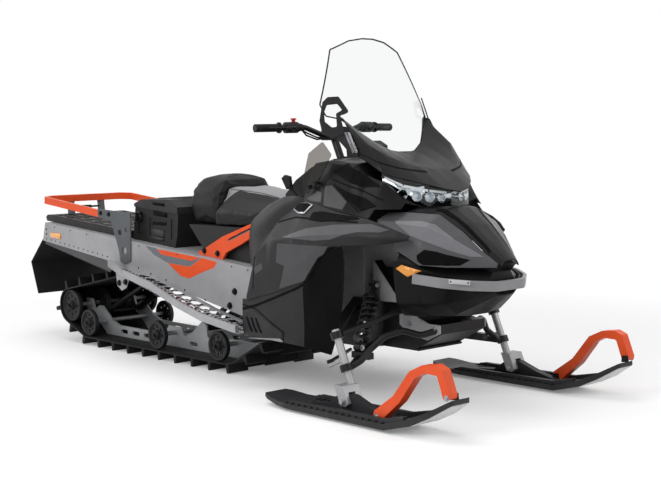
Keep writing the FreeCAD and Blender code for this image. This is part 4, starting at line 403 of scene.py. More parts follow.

# %% [markdown]
# ## Making a piece
# Each added piece starts as a bmesh, becomes a mesh with its place in its vertices, and rides on the body
# that carries it.

# %% From a bmesh to a piece
SHADE_ANGLE = 34.0


def spot(x, y, z):
    """A place in millimetres from the steering post's foot, as the drawing gives it."""
    return Vector((x / 1000.0 + DATUM, y / 1000.0, z / 1000.0))


def make_piece(name, shape, material, body="chassis", angle=SHADE_ANGLE):
    """Turn a bmesh into a piece that rides on a body, shaded smooth up to an angle in degrees."""
    mesh = bpy.data.meshes.new(name)
    shape.to_mesh(mesh)
    shape.free()
    mesh.materials.append(material)
    mesh.shade_smooth()
    mesh.set_sharp_from_angle(angle=math.radians(angle))
    piece = bpy.data.objects.new(name, mesh)
    bpy.context.scene.collection.objects.link(piece)
    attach(piece, body)
    print(f"{name}: {len(mesh.polygons)} faces on {body}")
    return piece


# %% [markdown]
# Bars, bolts, rivets and cut plates are what assembly leaves to see. The machine is the same on both sides,
# so most pieces are drawn on the right and copied to the left.

# %% Bars, bolts and plates
WASHER = 0.0016
UP = Vector((0, 0, 1))


def add_left(shape):
    """Copy everything in the mesh to the machine's left side."""
    copy = bmesh.ops.duplicate(shape, geom=shape.verts[:] + shape.edges[:] + shape.faces[:])["geom"]
    bmesh.ops.scale(shape, vec=(1, -1, 1), verts=[e for e in copy if isinstance(e, bmesh.types.BMVert)])
    bmesh.ops.reverse_faces(shape, faces=[e for e in copy if isinstance(e, bmesh.types.BMFace)])


def make_pair(name, shape, material, body="chassis"):
    """One piece from a shape drawn on the right and its mirror copy on the left."""
    add_left(shape)
    return make_piece(name, shape, material, body)


def add_rod(shape, start, stop, radius, sides=16, end_radius=None):
    """A round bar or cone between two places."""
    heading = stop - start
    turn = heading.to_track_quat("Z", "Y").to_matrix().to_4x4()
    bmesh.ops.create_cone(shape, cap_ends=True, segments=sides, radius1=radius,
                          radius2=radius if end_radius is None else end_radius, depth=heading.length,
                          matrix=Matrix.Translation((start + stop) / 2) @ turn)


def add_bolt(shape, place, heading, across):
    """A hexagon bolt head on its washer."""
    heading = Vector(heading).normalized()
    top = place + heading * WASHER
    add_rod(shape, place, top, across * 0.78, 20)
    add_rod(shape, top, top + heading * across * 0.42, across / 2, 6)


def add_rivet(shape, place, heading, radius=0.004):
    """A dome-headed rivet as a low cone with a blunt top."""
    heading = Vector(heading).normalized()
    add_rod(shape, place, place + heading * radius * 0.45, radius, 10, radius * 0.55)


def upright(y, pairs):
    """Places on a plane that faces sideways, from pairs of x and z in millimetres."""
    return [spot(x, y, z) for x, z in pairs]


def add_plate(shape, corners, thickness):
    """Raise a flat outline into a plate by a thickness vector."""
    face = shape.faces.new([shape.verts.new(corner) for corner in corners])
    raised = bmesh.ops.extrude_face_region(shape, geom=[face], use_keep_orig=True)["geom"]
    bmesh.ops.translate(shape, vec=thickness, verts=[e for e in raised if isinstance(e, bmesh.types.BMVert)])
    bmesh.ops.recalc_face_normals(shape, faces=shape.faces)


# %% [markdown]
# ## Smooth hull panels
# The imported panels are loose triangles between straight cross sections. A copy is merged, and its shading
# runs smoothly over shallow turns and breaks at the moulded ridges, as light does on the real panel. The
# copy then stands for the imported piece, in the same place.

# %% Merged copies
MERGE = 0.00004
HULL_RIDGE = 24.0


def merged(*node_names):
    """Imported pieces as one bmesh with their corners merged."""
    shape = bmesh.new()
    for name in node_names:
        shape.from_mesh(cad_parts[name].data)
    bmesh.ops.remove_doubles(shape, verts=shape.verts, dist=MERGE)
    return shape


shells = {}
for node_name, title in (("side_panels", "flank_shells"), ("lower_panels", "lower_shells"),
                         ("hood", "cowl_shell"), ("nose_panel", "nose_shell"), ("nose_sides", "cheek_shells"),
                         ("visor", "visor_shell"), ("belly_pan", "belly_shell"), ("headlight", "lamp_cover"),
                         ("windshield", "screen")):
    shells[node_name] = make_piece(title, merged(node_name), DRESS[node_name],
                                   angle=HULL_RIDGE)
    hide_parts(node_name)

# %% [markdown]
# ## The screen's edge
# The sheet's sawn edge gathers light inside it and looks like a dark line. The two skins are the largest
# groups of faces that join smoothly; the rest is the edge. An inset of 6 mm on each skin widens the line,
# as the polished round of the real edge does.

# %% Dark sawn edge
SKIN_TURN = 0.9
EDGE_WIDE = 0.006
screen_edge = surface("sawn_polycarbonate_edge", "#1E1F20", "#19191A", 0.3, 3.0, 0.03)


def smooth_regions(shape, angle):
    """Groups of faces joined by edges that turn less than the angle, the largest area first."""
    waiting = dict.fromkeys(shape.faces)
    regions = []
    while waiting:
        border = [waiting.popitem()[0]]
        region = list(border)
        while border:
            for edge in border.pop().edges:
                for face in edge.link_faces:
                    if face in waiting and edge.calc_face_angle(3.0) < angle:
                        del waiting[face]
                        region.append(face)
                        border.append(face)
        regions.append(region)
    return sorted(regions, key=lambda region: -sum(face.calc_area() for face in region))


sheet = bmesh.new()
sheet.from_mesh(shells["windshield"].data)
regions = smooth_regions(sheet, SKIN_TURN)
for region in regions[2:]:
    for face in region:
        face.material_index = 1
for region in regions[:2]:
    strip = bmesh.ops.inset_region(sheet, faces=region, thickness=EDGE_WIDE, use_even_offset=True)["faces"]
    for face in strip:
        face.material_index = 1
sheet.to_mesh(shells["windshield"].data)
sheet.free()
shells["windshield"].data.materials.append(screen_edge)
print("screen groups of faces:", len(regions))

# %% [markdown]
# ## Films and thin mouldings laid on a surface
# A printed film or a shallow moulding follows the panel under it exactly, so it is cut out of the panel's
# own faces. First come the faces that are seen when looking along one direction. An outline is drawn flat
# in that view: x and z from the side, x and y from above or below, y and z from ahead.

# %% What one view sees
TO_LEFT = Vector((0, 1, 0))
TO_REAR = Vector((-1, 0, 0))
DOWN = -UP
TURNED_AWAY = -0.05
seen_faces = {}


def placed(pair, heading):
    """A drawn pair of millimetres as a place in front of the machine, in the view along a heading."""
    if heading.y:
        return spot(pair[0], -500, pair[1])
    if heading.z:
        return spot(*pair, 900 if heading.z < 0 else -200)
    return spot(1500, *pair)


def faces_seen(nodes, heading):
    """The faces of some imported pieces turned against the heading, and a search tree of them all."""
    key = (*nodes, *heading)
    if key not in seen_faces:
        shape = merged(*nodes)
        tree = BVHTree.FromBMesh(shape)
        away = [face for face in shape.faces if face.normal.dot(heading) > TURNED_AWAY]
        bmesh.ops.delete(shape, geom=away, context="FACES")
        mesh = bpy.data.meshes.new("seen")
        shape.to_mesh(mesh)
        shape.free()
        seen_faces[key] = mesh, tree
    return seen_faces[key]


# %% [markdown]
# Each side of the outline then cuts away what lies beyond it. A view ray to every cell of 3 cm finds what
# something else covers, and those cells are left out. The rest is lifted off the panel, and a Solidify
# modifier gives a moulding its thickness; a film of under 0.7 mm stays a single sheet. Near-black is the
# usual material, because most of these pieces are dark openings and joints; in an opening it is a painted
# shade for the hollow behind.

# %% Cutting and lifting
CELL = 0.03
COVERED = 0.006
JOIN = 0.00003
LIFT = 0.0002
FILM = 0.0007


def cut(shape, place, across, beyond=False):
    """Cut faces along a plane, and drop what lies beyond it if asked."""
    bmesh.ops.bisect_plane(shape, geom=shape.verts[:] + shape.edges[:] + shape.faces[:], dist=1e-7,
                           plane_co=place, plane_no=across, clear_outer=beyond)


def lay(shape, outline, nodes, heading):
    """Add to a shape the part of the seen faces that lies inside one outline."""
    source, tree = faces_seen(nodes, heading)
    side = Vector((1, 0, 0)) if abs(heading.x) < 0.5 else Vector((0, 1, 0))
    pieces = [outline]
    if len(outline) > 4:
        pieces = [[outline[i] for i in three] for three in tessellate_polygon([outline])]
    for corners in pieces:
        part = bmesh.new()
        part.from_mesh(source)
        middle = sum(corners, Vector()) / len(corners)
        for start, stop in zip(corners, corners[1:] + corners[:1]):
            outward = (stop - start).cross(heading)
            cut(part, start, -outward if outward.dot(start - middle) < 0 else outward, beyond=True)
        for across in (side, heading.cross(side)):
            reach = [corner.dot(across) for corner in corners]
            for step in range(1, int((max(reach) - min(reach)) / CELL) + 1):
                cut(part, across * (min(reach) + CELL * step), across)
        hidden = []
        for face in part.faces:
            middle = face.calc_center_median()
            place = tree.ray_cast(middle - heading * 3.0, heading)[0]
            if place is None or (place - middle).length > COVERED:
                hidden.append(face)
        bmesh.ops.delete(part, geom=hidden, context="FACES")
        mesh = bpy.data.meshes.new("part")
        part.to_mesh(mesh)
        part.free()
        shape.from_mesh(mesh)
        bpy.data.meshes.remove(mesh)


def laid_piece(name, nodes, thick, outlines, material=void_black, heading=TO_LEFT,
               mirror=True, body="chassis"):
    """One piece of films or thin mouldings, on the right side and, mirrored, on the left."""
    shape = bmesh.new()
    for outline in outlines:
        lay(shape, [placed(pair, heading) for pair in outline], nodes, heading)
    bmesh.ops.remove_doubles(shape, verts=shape.verts, dist=JOIN)
    shape.normal_update()
    for vertex in shape.verts:
        vertex.co += vertex.normal * (thick + LIFT)
    if mirror:
        add_left(shape)
    piece = make_piece(name, shape, material, body)
    if thick > FILM:
        wall = piece.modifiers.new("thickness", "SOLIDIFY")
        wall.thickness = thick
        wall.offset = -1.0
    return piece


def lines(pairs, wide):
    """Narrow outlines along a broken line of the side view."""
    result = []
    for (x0, z0), (x1, z1) in zip(pairs, pairs[1:]):
        length = math.hypot(x1 - x0, z1 - z0)
        nx, nz = -(z1 - z0) / length * wide / 2, (x1 - x0) / length * wide / 2
        result.append([(x0 + nx, z0 + nz), (x1 + nx, z1 + nz), (x1 - nx, z1 - nz), (x0 - nx, z0 - nz)])
    return result


def oblong(x, y, long, wide):
    """An oblong outline from one corner."""
    return [(x, y), (x + long, y), (x + long, y + wide), (x, y + wide)]


# %% [markdown]
# ## Graphics on the tunnel and the flanks
# The tunnel carries a chevron in orange and blue-grey, and the flanks have two grey fields: a plain mid-grey
# one, and a pale one on the fender's top that is a painted highlight. Lettering and badges are left out, so
# the fields are bare. The films are under half a millimetre thick.

# %% Tunnel chevron
laid_piece("tunnel_chevron_orange", ["tunnel"], 0.0004, [
    [(-506, 523), (-186, 503), (-240, 484), (-470, 499)],
    [(-424, 464), (-258, 457), (-168, 503), (-58, 491), (-85, 464), (-163, 440), (-264, 404), (-327, 412)]],
    orange_film)
laid_piece("tunnel_chevron_grey", ["tunnel"], 0.0003, [
    [(-596, 532), (-512, 526), (-474, 500), (-244, 485), (-218, 500), (-172, 503), (-260, 458), (-429, 465),
     (-529, 494)]], blue_grey_film)

# %% [markdown]
# The mid-grey fields on the flank, the cowl and the rear skirts are printed films too, each on a moulding of
# its own colour. The pale field on the fender's top is a painted highlight: a paler grey film where light
# falls.

# %% Grey fields of the flanks
# Painted highlight: a pale grey film along the fender's top, where light falls.
laid_piece("fender_painted_highlight", ["side_panels"], 0.0005, [
    [(522, 637), (653, 677), (793, 696), (957, 704), (1030, 684), (1004, 674), (920, 674), (858, 661),
     (806, 643), (712, 633)]], fender_highlight_grey)
laid_piece("flank_field", ["side_panels", "lower_panels"], 0.0004, [
    [(498, 612), (785, 615), (758, 582), (731, 570), (652, 474), (506, 432), (542, 524), (490, 536)]],
    panel_grey)
laid_piece("cowl_fields", ["hood"], 0.0006, [
    [(688, 838), (724, 842), (818, 781), (800, 752), (693, 764)],
    [(573, 781), (644, 819), (672, 812), (674, 776)]], panel_grey)
laid_piece("skirt_field", ["snow_flap"], 0.0006, [
    [(-1496, 511), (-905, 446), (-868, 415), (-905, 390), (-1494, 494)]], panel_grey)

# %% [markdown]
# ## Joints and vents of the hull
# Where two mouldings meet there is a dark gap, and air gets in through dark openings with a rim. Seen from
# a few metres each is a dark shape with a crisp border, so they are thin sheets in near-black, which over an
# opening is a painted shade for the hollow behind it. The high intake has a bright rim, which is a larger
# moulding under the dark one.

# %% Grooves, intakes and vents
laid_piece("flank_grooves", ["side_panels", "lower_panels"], 0.0006,
           lines([(345, 420), (352, 560), (400, 668)], 4)
           + lines([(268, 330), (356, 352), (470, 392), (600, 440), (664, 470), (738, 560), (800, 610)], 11)
           + lines([(440, 690), (560, 715), (720, 712), (900, 708)], 6)
           + lines([(262, 350), (352, 338), (512, 256), (497, 214), (270, 208)], 5))
laid_piece("flank_lower_band", ["side_panels"], 0.0006, lines([(356, 492), (404, 516)], 26), panel_grey)
# Painted shade: a near-black sheet over the flank's front where the arm well lies in shade.
laid_piece("arm_well_painted_shade", ["side_panels", "lower_panels"], 0.0003, [
    [(728, 606), (672, 549), (632, 436), (622, 276), (606, 206), (700, 188), (735, 185), (782, 290),
     (812, 409), (841, 560), (845, 615), (790, 612)]])
laid_piece("cowl_grooves", ["hood"], 0.0006, lines([(721, 866), (847, 831), (950, 789)], 5)
           + lines([(735, 846), (820, 785), (880, 744)], 5))
laid_piece("inlet_rim", ["side_panels", "hood"], 0.004, [
    [(518, 742), (530, 768), (608, 771), (637, 763), (606, 729), (566, 728)]], zinc)
laid_piece("inlet_opening", ["side_panels", "hood"], 0.0046, [
    [(527, 744), (536, 766), (606, 769), (628, 763), (603, 735), (568, 734)]])
laid_piece("intake_slot", ["side_panels", "hood"], 0.001, [
    [(641, 708), (652, 738), (700, 742), (878, 728), (900, 722), (880, 716), (717, 704)]])
laid_piece("cowl_mesh", ["hood"], 0.001, [[(742, 843), (888, 794), (936, 766), (886, 748), (822, 788)]])
laid_piece("cowl_dark_facet", ["hood"], 0.0005, [
    [(717, 894), (777, 928), (843, 894), (930, 838), (866, 836), (801, 858)]])
laid_piece("tail_vent_field", ["lower_panels"], 0.0012, [
    [(272, 322), (340, 332), (505, 252), (490, 224), (272, 216)]], black_grey)
laid_piece("tail_vents", ["lower_panels"], 0.0018,
           [[(x, 300), (x + 13, 301), (x + 43, 243), (x + 30, 240)] for x in (290, 318, 346)])
laid_piece("flank_foot_strip", ["lower_panels"], 0.0014, [
    [(300, 214), (485, 228), (500, 216), (430, 204), (320, 204)]], bumper_grey)

# %% [markdown]
# ## The nose
# The grey cheeks have a paler upper facet with a dark slot under it. The middle of the nose is bare where
# the real machine has a badge. The amber reflector sits on the tub beside the bumper's end.

# %% Cheek facets, slots and reflector
laid_piece("cheek_facet", ["nose_sides"], 0.0006, [
    [(1000, 712), (1077, 712), (1123, 700), (1292, 583), (1259, 584), (1066, 662)]],
    cheek_light)
laid_piece("cheek_slot", ["nose_sides"], 0.0008, [
    [(1100, 588), (1127, 610), (1166, 603), (1262, 573), (1238, 553), (1124, 553), (1104, 568)]])
laid_piece("nose_channel", ["nose_panel"], 0.0008, [
    [(1085, -118), (1160, -88), (1300, -62), (1300, -54), (1160, -70), (1085, -96)]], heading=DOWN)
laid_piece("front_reflector", ["belly_pan"], 0.004, [
    [(1011, 536), (1035, 550), (1113, 531), (1055, 506)]], amber_lens)
laid_piece("rear_reflector", ["tunnel"], 0.004, [
    [(-1440, 552), (-1343, 554), (-1343, 524), (-1436, 530)]], amber_lens)
laid_piece("belly_grille", ["belly_pan"], 0.0012,
           [[(y, 476), (y + 15, 476), (y + 20, 452), (y + 5, 452)] for y in range(-128, 120, 24)],
           heading=TO_REAR, mirror=False)
# Painted shade: a thin dark line along the visor's crease.
laid_piece("visor_crease_painted_shade", ["visor"], 0.0005, lines([(812, 962), (880, 938), (950, 908), (1015, 884)], 3))

# %% [markdown]
# A white tag is screwed to the bumper. The real one is printed; this one stays blank.

# %% Blank tag on the bumper
TAG_LONG = 0.078
tag_up = UP * 0.016
tag = bmesh.new()
tag_low, tag_high = spot(1231, -207, 492), spot(1290, -166, 488)
along = (tag_high - tag_low).normalized()
out = along.cross(UP).normalized()
base = tag_low + out * 0.0145
add_plate(tag, [base, base + along * TAG_LONG, base + along * TAG_LONG + tag_up, base + tag_up], out * 0.0015)
bmesh.ops.bevel(tag, geom=tag.edges[:], offset=0.0005, segments=2, affect="EDGES", profile=0.5, material=-1)
make_piece("bumper_tag", tag, white_plastic)
screws = bmesh.new()
for inset in (0.007, TAG_LONG - 0.007):
    add_rivet(screws, base + along * inset + out * 0.0016 + tag_up / 2, out, 0.0032)
make_piece("bumper_tag_screws", screws, black_zinc)

# %% [markdown]
# ## Dark mouldings inside the nose
# Between the grey nose and the tub runs a recessed black moulding that carries the bumper, and behind the
# lamp sits a black tray. Without them daylight would show through the hull. Each is a grid of a few
# stations, as the mould's sections would be drawn, bridged line by line.

# %% Throat and tray


def between_lines(shape, rows):
    """Faces between broken lines that have as many corners each."""
    laid = [[shape.verts.new(corner) for corner in row] for row in rows]
    chains = [[shape.edges.new(pair) for pair in zip(row, row[1:])] for row in laid]
    for one, other in zip(chains, chains[1:]):
        bmesh.ops.bridge_loops(shape, edges=one + other)
    bmesh.ops.recalc_face_normals(shape, faces=shape.faces)


def both_sides(corners):
    """A broken line on the right, carried on in mirror on the left."""
    return [spot(*corner) for corner in corners] + [spot(x, -y, z) for x, y, z in corners[::-1]]


THROAT = (
    [(1006, -248, 606), (1110, -226, 556), (1200, -178, 550),
     (1278, -106, 549), (1328, -58, 550), (1336, -26, 558)],
    [(1006, -238, 586), (1104, -212, 546), (1190, -166, 531),
     (1262, -98, 526), (1306, -52, 524), (1312, -24, 525)],
    [(1006, -250, 560), (1090, -222, 541), (1188, -188, 512),
     (1268, -133, 497), (1308, -72, 490), (1312, -26, 489)])
TRAY = ([(925, -214, 716), (925, -90, 716)], [(905, -226, 724), (905, -90, 724)],
        [(900, -232, 774), (900, -90, 790)])
for name, stations in (("nose_throat", THROAT), ("lamp_tray", TRAY)):
    moulding = bmesh.new()
    between_lines(moulding, [both_sides(station) for station in stations])
    bmesh.ops.solidify(moulding, geom=moulding.faces[:], thickness=0.002)
    make_piece(name, moulding, gloss_black)

# %% [markdown]
# ## The flank's rear trim
# Behind each flank a bent moulding closes the step to the seat, hides the end of the orange frame and folds
# in towards it. It is drawn as four broken lines, from under the flank's rim to the inner edge of the fold.

# %% Rear trims
TRIM = (
    [(585, -317, 777), (500, -322, 735), (440, -327, 699),
     (356, -342, 625), (332, -368, 540), (330, -384, 484)],
    [(540, -318, 796), (428, -326, 758), (362, -332, 716),
     (300, -340, 662), (282, -344, 596), (284, -350, 500)],
    [(430, -300, 791), (330, -300, 755), (264, -300, 714),
     (216, -300, 678), (200, -300, 603), (208, -300, 512)],
    [(434, -262, 784), (338, -262, 749), (272, -262, 709),
     (224, -262, 674), (208, -262, 603), (216, -262, 512)])
trim = bmesh.new()
between_lines(trim, [[spot(*corner) for corner in row] for row in TRIM])
bmesh.ops.subdivide_edges(trim, edges=trim.edges, cuts=1, use_grid_fill=True, smooth=0.4)
bmesh.ops.solidify(trim, geom=trim.faces[:], thickness=0.0025)
make_pair("flank_trims", trim, satin_charcoal)

# %% [markdown]
# ## The lamp
# Behind the clear cover is a dark housing with bright metallised cells and a frosted light guide along the
# visor's edge. The housing is a copy of the cover shrunk towards its middle, so it fits at any size; the
# cells are short cones that open towards the front.

# %% Housing, cells and light guides
housing = merged("headlight")
middle = spot(980, 0, 822)
bmesh.ops.translate(housing, vec=-middle, verts=housing.verts)
bmesh.ops.scale(housing, vec=(0.84, 0.93, 0.84), verts=housing.verts)
bmesh.ops.translate(housing, vec=middle + Vector((-0.022, 0, -0.002)), verts=housing.verts)
make_piece("lamp_housing", housing, chrome)
cells = bmesh.new()
for x, y, z, size in ((966, -176, 808, 20), (1002, -136, 800, 20), (1028, -96, 796, 20),
                      (1044, -52, 792, 18)):
    aim = Vector((1.0, y / 210.0, 0.02)).normalized()
    bmesh.ops.create_cone(cells, cap_ends=False, segments=20, radius1=0.007, radius2=size / 1000.0,
                          depth=0.03, matrix=Matrix.Translation(spot(x, y, z))
                          @ aim.to_track_quat("Z", "Y").to_matrix().to_4x4())
bmesh.ops.recalc_face_normals(cells, faces=cells.faces)
bmesh.ops.solidify(cells, geom=cells.faces[:], thickness=0.0012)
make_pair("lamp_cells", cells, chrome)
guides = bmesh.new()
for (x0, y0, z0), (x1, y1, z1) in (((912, -214, 876), (978, -186, 846)),
                                   ((982, -183, 845), (1040, -112, 826)),
                                   ((1043, -106, 825), (1068, -40, 816))):
    add_plate(guides, [spot(x0, y0, z0), spot(x1, y1, z1), spot(x1, y1, z1 - 9), spot(x0, y0, z0 - 9)],
              Vector((0.004, -0.002, 0)))
# Painted glow: the light guide's faint emission brightens it.
frosted = surface("frosted_light_guide", "#E4E7EA", "#D8DCE0", 0.3, 4.0, 0.05, Emission_Strength=0.25,
                  Emission_Color=paint("#E4E7EA"))
make_pair("lamp_guides", guides, frosted)

# %% [markdown]
# ## The seat
# A seat is foam under a stretched vinyl cover: it bulges between its seams and pulls in along them. A
# copy of the solid is remeshed in cells of 6 mm, shrunk by 4 mm, inflated as cloth for twenty frames with no
# point moving further than 6 mm, and subdivided once.

# %% Inflating a cushion
VOXEL, SHRINK, FAR = 0.006, 0.004, 0.006
PRESSURE, FRAMES, FILL = 4.0, 20, 0.85


def inflate(node_name, title, material):
    """A stuffed copy of a soft solid, made with a short cloth simulation."""
    shape = merged(node_name)
    bmesh.ops.recalc_face_normals(shape, faces=shape.faces)
    piece = make_piece(title, shape, material)
    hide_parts(node_name)
    remesh = piece.modifiers.new("voxels", "REMESH")
    remesh.mode = "VOXEL"
    remesh.voxel_size = VOXEL
    remesh.use_smooth_shade = True
    bpy.context.view_layer.objects.active = piece
    piece.select_set(True)
    bpy.ops.object.modifier_apply(modifier="voxels")
    mesh = piece.data
    for vertex, normal in zip(mesh.vertices, [v.normal.copy() for v in mesh.vertices]):
        vertex.co -= normal * SHRINK
    for _ in range(2):
        soft = bmesh.new()
        soft.from_mesh(mesh)
        bmesh.ops.smooth_vert(soft, verts=soft.verts, factor=0.5, use_axis_x=True, use_axis_y=True,
                              use_axis_z=True)
        soft.to_mesh(mesh)
        soft.free()
    rest = [vertex.co.copy() for vertex in mesh.vertices]
    cloth = piece.modifiers.new("cloth", "CLOTH")
    cloth.settings.use_pressure = True
    cloth.settings.uniform_pressure_force = PRESSURE
    cloth.settings.effector_weights.gravity = 0.0
    cloth.settings.quality = 4
    for number in range(1, FRAMES + 1):
        bpy.context.scene.frame_set(number)
    evaluated = piece.evaluated_get(bpy.context.evaluated_depsgraph_get())
    moved = [vertex.co.copy() for vertex in evaluated.data.vertices]
    piece.modifiers.remove(cloth)
    bpy.context.scene.frame_set(1)
    for vertex, start, stop in zip(mesh.vertices, rest, moved):
        away = stop - start
        vertex.co = start + away * min(1.0, FAR / max(away.length, 1e-9))
    finer = piece.modifiers.new("finer", "SUBSURF")
    finer.levels = 1
    finer.render_levels = 1
    mesh.shade_smooth()
    piece.select_set(False)
    print(title, len(mesh.polygons), "faces before the subdivision")
    return piece


cushion = inflate("seat", "seat_cushion", cushion_vinyl)
bolster = inflate("backrest", "seat_bolster", bolster_vinyl)

# %% [markdown]
# A welt is a thin cord in a strip of vinyl, sewn in along a seam. Each is drawn in the side view, and rays
# find where it lies on the stuffed cover.

# %% Sewn welts
WELT_RADIUS = 0.0016
WELT_STEP = 0.008


def add_welt(shape, tree, pairs):
    """A thin piping along a broken line of the side view, laid on a surface."""
    points = [placed(pair, TO_LEFT) for pair in pairs]
    course = []
    for start, stop in zip(points, points[1:]):
        steps = max(2, int((stop - start).length / WELT_STEP))
        course += [start.lerp(stop, step / steps) for step in range(steps)]
    course.append(points[-1])
    laid = []
    for point in course:
        place = tree.ray_cast(point - TO_LEFT, TO_LEFT)[0]
        if place is not None:
            laid.append(place)
    for start, stop in zip(laid, laid[1:]):
        if 0.001 < (stop - start).length < 0.03:
            add_rod(shape, start, stop + (stop - start).normalized() * 0.001, WELT_RADIUS, 8)


def soft_tree(piece):
    """A search tree over a finished cushion."""
    mesh = piece.evaluated_get(bpy.context.evaluated_depsgraph_get()).data
    return BVHTree.FromPolygons([v.co.copy() for v in mesh.vertices],
                                [list(f.vertices) for f in mesh.polygons])


welts = bmesh.new()
cushion_tree = soft_tree(cushion)
bolster_tree = soft_tree(bolster)
add_welt(welts, cushion_tree, [(-172, 745), (-168, 712), (-139, 672), (-64, 657), (38, 680), (120, 714),
                               (190, 720)])
add_welt(welts, cushion_tree, [(-174, 800), (-90, 796), (33, 786), (110, 774), (166, 762), (240, 742)])
add_welt(welts, bolster_tree, [(-310, 794), (-250, 782), (-214, 750), (-190, 716), (-184, 700)])
add_welt(welts, bolster_tree, [(-350, 705), (-293, 718), (-240, 690), (-184, 664)])
make_pair("seat_welts", welts, grained_black)

# %% [markdown]
# ## Rivets and bolts
# Sheet metal is riveted and the brackets are bolted. Heads are what shows: a rivet is a low dome, a bolt is
# a hexagon on a washer. Like ones share a piece.

# %% Tunnel rivets and frame bolts
TUNNEL_FACE = -270.2
rivets = bmesh.new()
for index in range(14):
    x = -1478 + index * 43
    add_rivet(rivets, spot(x, TUNNEL_FACE, 521 - 0.105 * (x + 1478)), (0, -1, 0))
for x, z in ((-1479, 569), (-1479, 545), (-658, 425), (-560, 405), (-440, 385), (-300, 350), (-150, 318),
             (-20, 292)):
    add_rivet(rivets, spot(x, TUNNEL_FACE, z), (0, -1, 0), 0.005)
for x in (-1400, -1250, -1100, -650, -350, 40, 150):
    add_rivet(rivets, spot(x, TUNNEL_FACE, 481 - 0.073 * x), (0, -1, 0))
make_pair("tunnel_rivets", rivets, black_zinc)
bolts = bmesh.new()
for x, z in ((-960, 672), (-890, 668)):
    add_bolt(bolts, spot(x, -275.4, z), (0, -1, 0), 0.015)
for x, z in ((-190, 531), (-95, 524)):
    add_bolt(bolts, spot(x, -238.2, z), (0, -1, 0), 0.018)
for x, z in ((-822, 342), (-768, 350), (60, 372), (25, 308)):
    add_bolt(bolts, spot(x, TUNNEL_FACE, z), (0, -1, 0), 0.02)
make_pair("frame_bolts", bolts, black_zinc)

# %% [markdown]
# Each orange frame has a slot with a grey plastic inlay, and the running boards are punched with rows of
# slots whose raised edges hold a boot. From above the slots read as dark oblongs.

# %% Grey inlay in the frame's slot, and slots of the foot grip
inlay = bmesh.new()
add_plate(inlay, upright(-236.6, [(-46, 575), (152, 648), (156, 636), (-42, 563)]), Vector((0, 0.002, 0)))
make_pair("frame_inlays", inlay, cheek_light)
laid_piece("foot_grip_slots", ["running_boards"], 0.0012,
           [oblong(x, y, 9, 34) for x in range(-560, 250, 27) for y in (-336, -382, -428)], heading=DOWN)

# %% [markdown]
# The slide rail's wheels turn on axles that are bolted from outside, with a cap over each bearing.

# %% Wheel hubs and axle bolts
hubs = bmesh.new()
for x, z in ((-1156, 113), (-573, 113), (-110, 113), (-1313, 187)):
    centre = spot(x, -244.2, z)
    bmesh.ops.create_cone(hubs, cap_ends=True, segments=24, radius1=0.02, radius2=0.014, depth=0.006,
                          matrix=Matrix.Translation(centre - Vector((0, 0.003, 0)))
                          @ Matrix.Rotation(math.pi / 2, 4, "X"))
    add_bolt(hubs, centre - Vector((0, 0.006, 0)), (0, -1, 0), 0.016)
make_pair("wheel_hubs", hubs, black_zinc)

# %% [markdown]
# ## The rear load area
# The box has a latch, slanted vents and a strap; its lid has a ribbed top. Two black stays and a thin tie
# rod carry the loop at the rear. The lid's pieces ride on the lid.

# %% Storage box
laid_piece("box_latch", ["storage_box"], 0.003, [[(-604, 694), (-500, 684), (-500, 664), (-604, 674)]])
laid_piece("box_vents", ["storage_box"], 0.0012,
           [[(x, 642), (x + 12, 641), (x + 4, 626), (x - 8, 627)] for x in range(-612, -508, 19)])
laid_piece("box_panel", ["storage_box"], 0.002, [
    [(-634, 608), (-528, 604), (-528, 552), (-634, 560)]], black_grey)
laid_piece("box_strap", ["storage_box"], 0.009, [
    [(-742, 690), (-700, 686), (-700, 640), (-728, 632), (-742, 650)]], gloss_black)
laid_piece("lid_ribs", ["storage_lid"], 0.003, [oblong(x, -130, 7, 260) for x in range(-690, -480, 18)],
           grained_black, heading=DOWN, mirror=False, body="lid")
laid_piece("lid_handle", ["storage_lid"], 0.003, [
    [(-600, 733), (-512, 728), (-512, 716), (-600, 721)]], mirror=False, body="lid")

# %% [markdown]
# A thin rod ties the loop's two rear stays, and the deck's moulded pads keep a load from sliding.

# %% Loop tie rod and deck pads
tie = bmesh.new()
add_rod(tie, spot(-1527, -80, 672), spot(-1527, 80, 672), 0.005)
add_rod(tie, spot(-1527, -30, 672), spot(-1527, 30, 672), 0.009)
for y in (-92, 92):
    add_rod(tie, spot(-1527, y - 16, 700), spot(-1527, y + 16, 700), 0.011, 20)
make_piece("loop_tie_rod", tie, black_powder)
laid_piece("deck_treads", ["rear_deck"], 0.002,
           [oblong(x, y, 46, 5) for x in (-1490, -1382, -1274, -1166, -1058)
            for y in (-205, -155, -102, -49, 45, 98, 150, 200)], grained_black, heading=DOWN, mirror=False)

# %% [markdown]
# ## The handlebar's controls
# The right grip has the throttle block with its thumb lever and a red stop button, the left one the brake
# block with its lever. The cables run from the blocks along the bar to the clamp, held by the bar.

